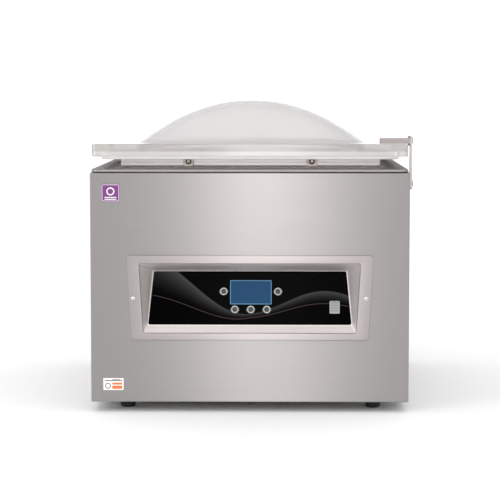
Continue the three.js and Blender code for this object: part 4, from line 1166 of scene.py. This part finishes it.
def make_bezel():
    rings = flange_rings(MOUTH_RINGS) + [recess_ring(*row) for row in TRAY_RINGS] + flange_rings(FLANGE_RINGS)
    mesh = ring_stack(rings, loop=True)
    piece("control_bezel_pressing", mesh, TO_METRES, bezel_steel, ["control_bezel"], sharp=50)
    # the pressing's faces behind the flange take the lighter copy of its steel: painted light on the recess
    # walls
    mesh.materials.append(tray_painted_light_steel)
    for face in mesh.polygons:
        face.material_index = int(face.center.y > TRAY_FROM)
    for side, hand in SIDES:
        name = f"bezel_screw_{side}"
        at = TO_METRES @ shift(hand * BEZEL_SCREW[0], FLANGE_FACE - 0.3, BEZEL_SCREW[1]) @ FACING
        make_screw(f"{name}_head", at, "cabinet", replaces=[name])


DISPLAY_X = 1.5
BUTTON_R = 6.7


def up_slope(z):
    """Height up the slanted panel of a point that stands at height z."""
    return (z - SLOPE_FOOT.z) / math.cos(SLOPE_ANGLE)


DISPLAY_V = up_slope(191.2)
DISPLAY_HALF = (33.5, 19.8)
UPPER_V = up_slope(192.5)
LOWER_V = up_slope(164.2)
BUTTONS = {
    "button_left": (DISPLAY_X - 43.7, UPPER_V, "arrow", 180),
    "button_right": (DISPLAY_X + 43.7, UPPER_V, "arrow", 0),
    "button_lower_left": (DISPLAY_X - 25.7, LOWER_V, "minus", 0),
    "button_lower_centre": (DISPLAY_X, LOWER_V, "dot", 0),
    "button_lower_right": (DISPLAY_X + 25.7, LOWER_V, "plus", 0),
}
SYMBOLS = {
    "arrow": ((-0.8, -1.5), (1.4, 0), (-0.8, 1.5)),
    "minus": ((-1.5, -0.4), (1.5, -0.4), (1.5, 0.4), (-1.5, 0.4)),
    "dot": tuple(circle(0, 0, 1.0, 20)),
    "plus": plus_outline(1.5, 0.4),
}
RING_SECTION = (
    (6.7, -4.2), (6.7, 0.5), (6.4, 1.1), (5.8, 1.4), (4.4, 1.35), (3.7, 1.0), (3.4, 0.3), (3.4, -4.2),
)
CORE_PROFILE = ((3.3, -4.2), (3.3, 0.25), (2.9, 0.5), (1.6, 0.6))
BUTTON_FLANGE = ((8.2, -5.8), (8.2, -4.35), (2.0, -4.3))
# x0, x1, foot, head and corner radius; the small badge's first bar is followed by others up the slope
BADGE = (128.3, 144.7, up_slope(157.8), up_slope(177.8), 1.5)
BADGE_BAR = (130.4, 142.6, BADGE[2] + 3.6, BADGE[2] + 6.0, 0.8)
BADGE_BAR_COUNT = 4
BADGE_BAR_PITCH = 4.4
PLAQUE = (-236.5, -207.5, 339, 367, 1.5)
PLAQUE_BORDER = (-235.7, -208.3, 339.8, 366.2, 1.2)
PLAQUE_FIELD = (-235.0, -209.0, 340.5, 365.5, 0.9)
PLAQUE_LINES = ((-231.5, -212.5, 342.2, 343.5, 0.5), (-231.5, -212.5, 345.2, 346.5, 0.5))
PLAQUE_RING = ((6.4, 0.95), (6.4, 1.15), (4.6, 1.15), (4.6, 0.95))
LABEL = (-235.3, -202.7, 35.6, 55, 1.5)
LABEL_BLOCKS = ((-221, -205, 37.6, 42.6, 0.6), (-221, -205, 44.4, 47.6, 0.6))
LABEL_BARS = ((-233, -205, 50.2, 51.6, 0.4), (-221, -208, 52.4, 53.3, 0.3))
LABEL_RING = ((4.6, 0.45), (4.6, 0.56), (3.4, 0.56), (3.4, 0.45))
ON_FRONT = TO_METRES @ shift(0, FRONT, 0) @ FACING


def display_outline(inset, r):
    half_w, half_h = DISPLAY_HALF
    return centred_rect(DISPLAY_X, DISPLAY_V, half_w - inset, half_h - inset, r, 4)


def make_panel():
    outline = trapezium(FOOT_HALF_W - 0.4, 0.4, HEAD_HALF_W - 0.4, SLOPE_H - 0.4)
    holes = [circle(x, v, BUTTON_R + 0.35, 40) for x, v, _, _ in BUTTONS.values()]
    holes.append(display_outline(-0.3, 1.2))
    mesh = plate_mesh(rounded_polygon(outline, 3.2), holes, -4, 0, 0.3)
    piece("control_panel_front", mesh, SLOPE_TO_METRES, panel_print, ["control_panel"])


def make_display():
    surround = plate_mesh(display_outline(0, 1.2), [display_outline(1.5, 0.7)], -1.2, 0.5, 0.2)
    piece("display_surround", surround, SLOPE_TO_METRES, display_frame, ["display_window"])
    glass = plate_mesh(display_outline(1.55, 0.7), [], -1.2, 0.15, 0.1)
    piece("display_glass", glass, SLOPE_TO_METRES, display_blue)


def make_buttons():
    for name, (x, v, symbol, turn) in BUTTONS.items():
        at = SLOPE_TO_METRES @ shift(x, v, 0)
        metal = joined([turned_ring(RING_SECTION), turned_mesh(BUTTON_FLANGE, 40)])
        piece(f"{name}_ring", metal, at, chrome, [name], body=name)
        piece(f"{name}_centre", turned_mesh(CORE_PROFILE, 40), at, button_core, body=name)
        mark = prism(SYMBOLS[symbol], 0.5, 0.75)
        mark_at = at @ turned_by(turn, "Z")
        piece(f"{name}_mark", mark, mark_at, button_mark, body=name, weighted=False)


def make_badges():
    x0, x1, low, high, r = BADGE_BAR
    rises = [i * BADGE_BAR_PITCH for i in range(BADGE_BAR_COUNT)]
    bars = joined([tile((x0, x1, low + rise, high + rise, r), 0.9, 1.1, 0.08) for rise in rises])
    plate = tile(BADGE, 0.3, 1.0, 0.3)
    piece("panel_badge_plate", plate, SLOPE_TO_METRES, badge_silver, ["panel_badge"])
    piece("panel_badge_bars", bars, SLOPE_TO_METRES, badge_dark)
    piece("front_badge_tile", tile(PLAQUE, 0.3, 1.0, 0.2), ON_FRONT, plum, ["front_badge"])
    mark = [
        plate_mesh(rounded_rect(*PLAQUE_BORDER), [rounded_rect(*PLAQUE_FIELD)], 0.95, 1.08),
        placed(turned_ring(PLAQUE_RING), shift(-222, 355.4, 0)),
    ]
    mark += [tile(line, 0.95, 1.08) for line in PLAQUE_LINES]
    piece("front_badge_mark", joined(mark), ON_FRONT, label_white)


def make_label():
    piece("info_label_sheet", tile(LABEL, 0.3, 0.5, 0.05, 1), ON_FRONT, label_white, ["info_label"])
    blocks = joined([tile(block, 0.45, 0.56) for block in LABEL_BLOCKS])
    piece("info_label_blocks", blocks, ON_FRONT, label_orange)
    marks = [tile(bar, 0.45, 0.56) for bar in LABEL_BARS]
    marks.append(placed(turned_ring(LABEL_RING), shift(-228, 42.6, 0)))
    piece("info_label_marks", joined(marks), ON_FRONT, label_grey)


make_bezel()
make_panel()
make_display()
make_buttons()
make_badges()
make_label()
refine("control_board", board_green, 0.2)

# ---------------- rear fittings and the inside

ROCKER_TILT = 8
ROCKER_HALF_W = 8
ROCKER_SLOPE = 12  # degrees that each half of the rocker leans
MARK_PLACE = (0, 5.5, 6)
ROCKER_OUTLINE = (
    (-7, -4), (2.6, -10.8), (6.0, -10.8), (6.3, -10.4), (5.2, -5), (4.7, 0), (5.2, 5), (6.3, 10.4),
    (6.0, 10.8), (2.6, 10.8), (-7, 4),
)
ON_MARK = trapezium(0.5, -2.2, 0.5, 2.2)
OFF_MARK = ((2.3, 0), (2.3, 0.25), (1.5, 0.25), (1.5, 0))
HOSE_STOPS = (
    (-14, 228, 258), (-14, 228, 244), (-32, 194, 226), (-72, 110, 244), (-90, 60, 236), (-90, 60, 212),
)
HOSE_R = 10.6
HOSE_RIB = 0.35


def make_rocker():
    pivot = Vector(JOINTS["power_switch_rock"]["pos_m"])
    at = Matrix.Translation(pivot) @ turned_by(ROCKER_TILT, "X") @ Matrix.Scale(MM, 4)
    rocker = placed(plate_mesh(ROCKER_OUTLINE, [], -ROCKER_HALF_W, ROCKER_HALF_W, 0.6), SIDEWAYS)
    piece("power_switch_rocker", rocker, at, black_plastic, ["power_switch"], "power_switch")
    marks = []
    x, y, z = MARK_PLACE
    for mesh, hand in ((prism(ON_MARK, 0, 0.25), 1), (turned_ring(OFF_MARK), -1)):
        on_half = shift(x, y, hand * z) @ turned_by(-hand * ROCKER_SLOPE, "X")
        marks.append(placed(mesh, on_half @ turned_by(-90, "X")))
    piece("power_switch_marks", joined(marks), at, label_white, body="power_switch")


def make_hose():
    path = smooth_path([Vector(stop) for stop in HOSE_STOPS], 24)
    hose = swept(path, lambda i: HOSE_R + HOSE_RIB * math.cos(i * math.pi / 2), 24)
    piece("vacuum_hose_ribbed", hose, TO_METRES, hose_rubber, ["vacuum_hose"])


def make_sight_glass():
    profile = ((13.4, 0), (14, 0.5), (14, 5.4), (13.2, 6), (11.6, 6), (11.2, 5.4), (4, 5.3))
    at = TO_METRES @ shift(-211, 40, 85) @ turned_by(-90, "Y")
    piece("oil_sight_glass_turned", turned_mesh(profile), at, sight_oil, ["oil_sight_glass"])


make_rocker()
make_hose()
make_sight_glass()
for node, material, bevel in (
    ("power_inlet", black_plastic, 0.4),
    ("switch_frame", black_plastic, 0.4),
    ("pump_body", cast_iron, 1.5),
    ("oil_tank", cast_alloy, 1.5),
    ("motor_housing", cast_alloy, 0.8),
    ("motor_rotor", zinc, 0.5),
    ("fan_cover", black_plastic, 0.5),
    ("valve_block", aluminium, 0.8),
    ("seal_transformer", copper, 1.0),
):
    refine(node, material, bevel)

# ---------------- floor, light and colour view

FLOOR_R = 9.0
SKY_STRENGTH = 1.18
SHADE_COLOUR = (0.66, 0.64, 0.65)
# spans of the view's direction over which the shade comes in: upwards, downwards and to the back
SHADE_FOOT = (0.05, 0.25)
SHADE_HEAD = (0.8, 0.5)
SHADE_BEHIND = (0.0, 0.3)
LAMPS = (  # name, place, aim, width, height and power
    ("front_strip", (0.0, -3.6, 0.85), (0.0, 0, 0.22), 0.30, 2.4, 16.5),
    ("left_fill", (-2.6, -2.6, 1.0), (0.0, 0, 0.2), 1.0, 1.6, 26),
)


def make_stage():
    mesh = ring_stack([raised(circle(0, 0, FLOOR_R, 64), 0)], close_start=True)
    mesh.materials.append(floor_paint)
    floor = add_object("floor", mesh)


def make_lamp(name, location, target, width, height, power):
    data = bpy.data.lights.new(name, "AREA")
    data.shape = "RECTANGLE"
    data.size = width
    data.size_y = height
    data.energy = power
    light = add_object(name, data)
    light.location = location
    light.rotation_euler = (Vector(target) - Vector(location)).to_track_quat("-Z", "Y").to_euler()


def make_sky():
    """A white sky with a darker zone behind the machine, clear of the horizon and of the zenith."""
    world = bpy.data.worlds.new("studio")
    world.use_nodes = True
    sky = Tree(world.node_tree)
    _, y, z = sky.split(sky.add("ShaderNodeTexCoord").outputs["Generated"])
    between_heights = sky.math("MULTIPLY", sky.ramp(z, *SHADE_FOOT), sky.ramp(z, *SHADE_HEAD))
    shade = sky.math("MULTIPLY", between_heights, sky.ramp(y, *SHADE_BEHIND))
    colour = sky.mix(shade, (1.0, 1.0, 1.0), SHADE_COLOUR)
    sky.fill(world.node_tree.nodes["Background"], Color=colour, Strength=SKY_STRENGTH)
    bpy.context.scene.world = world


make_stage()
make_sky()
for lamp in LAMPS:
    make_lamp(*lamp)
bpy.context.scene.view_settings.view_transform = "Standard"
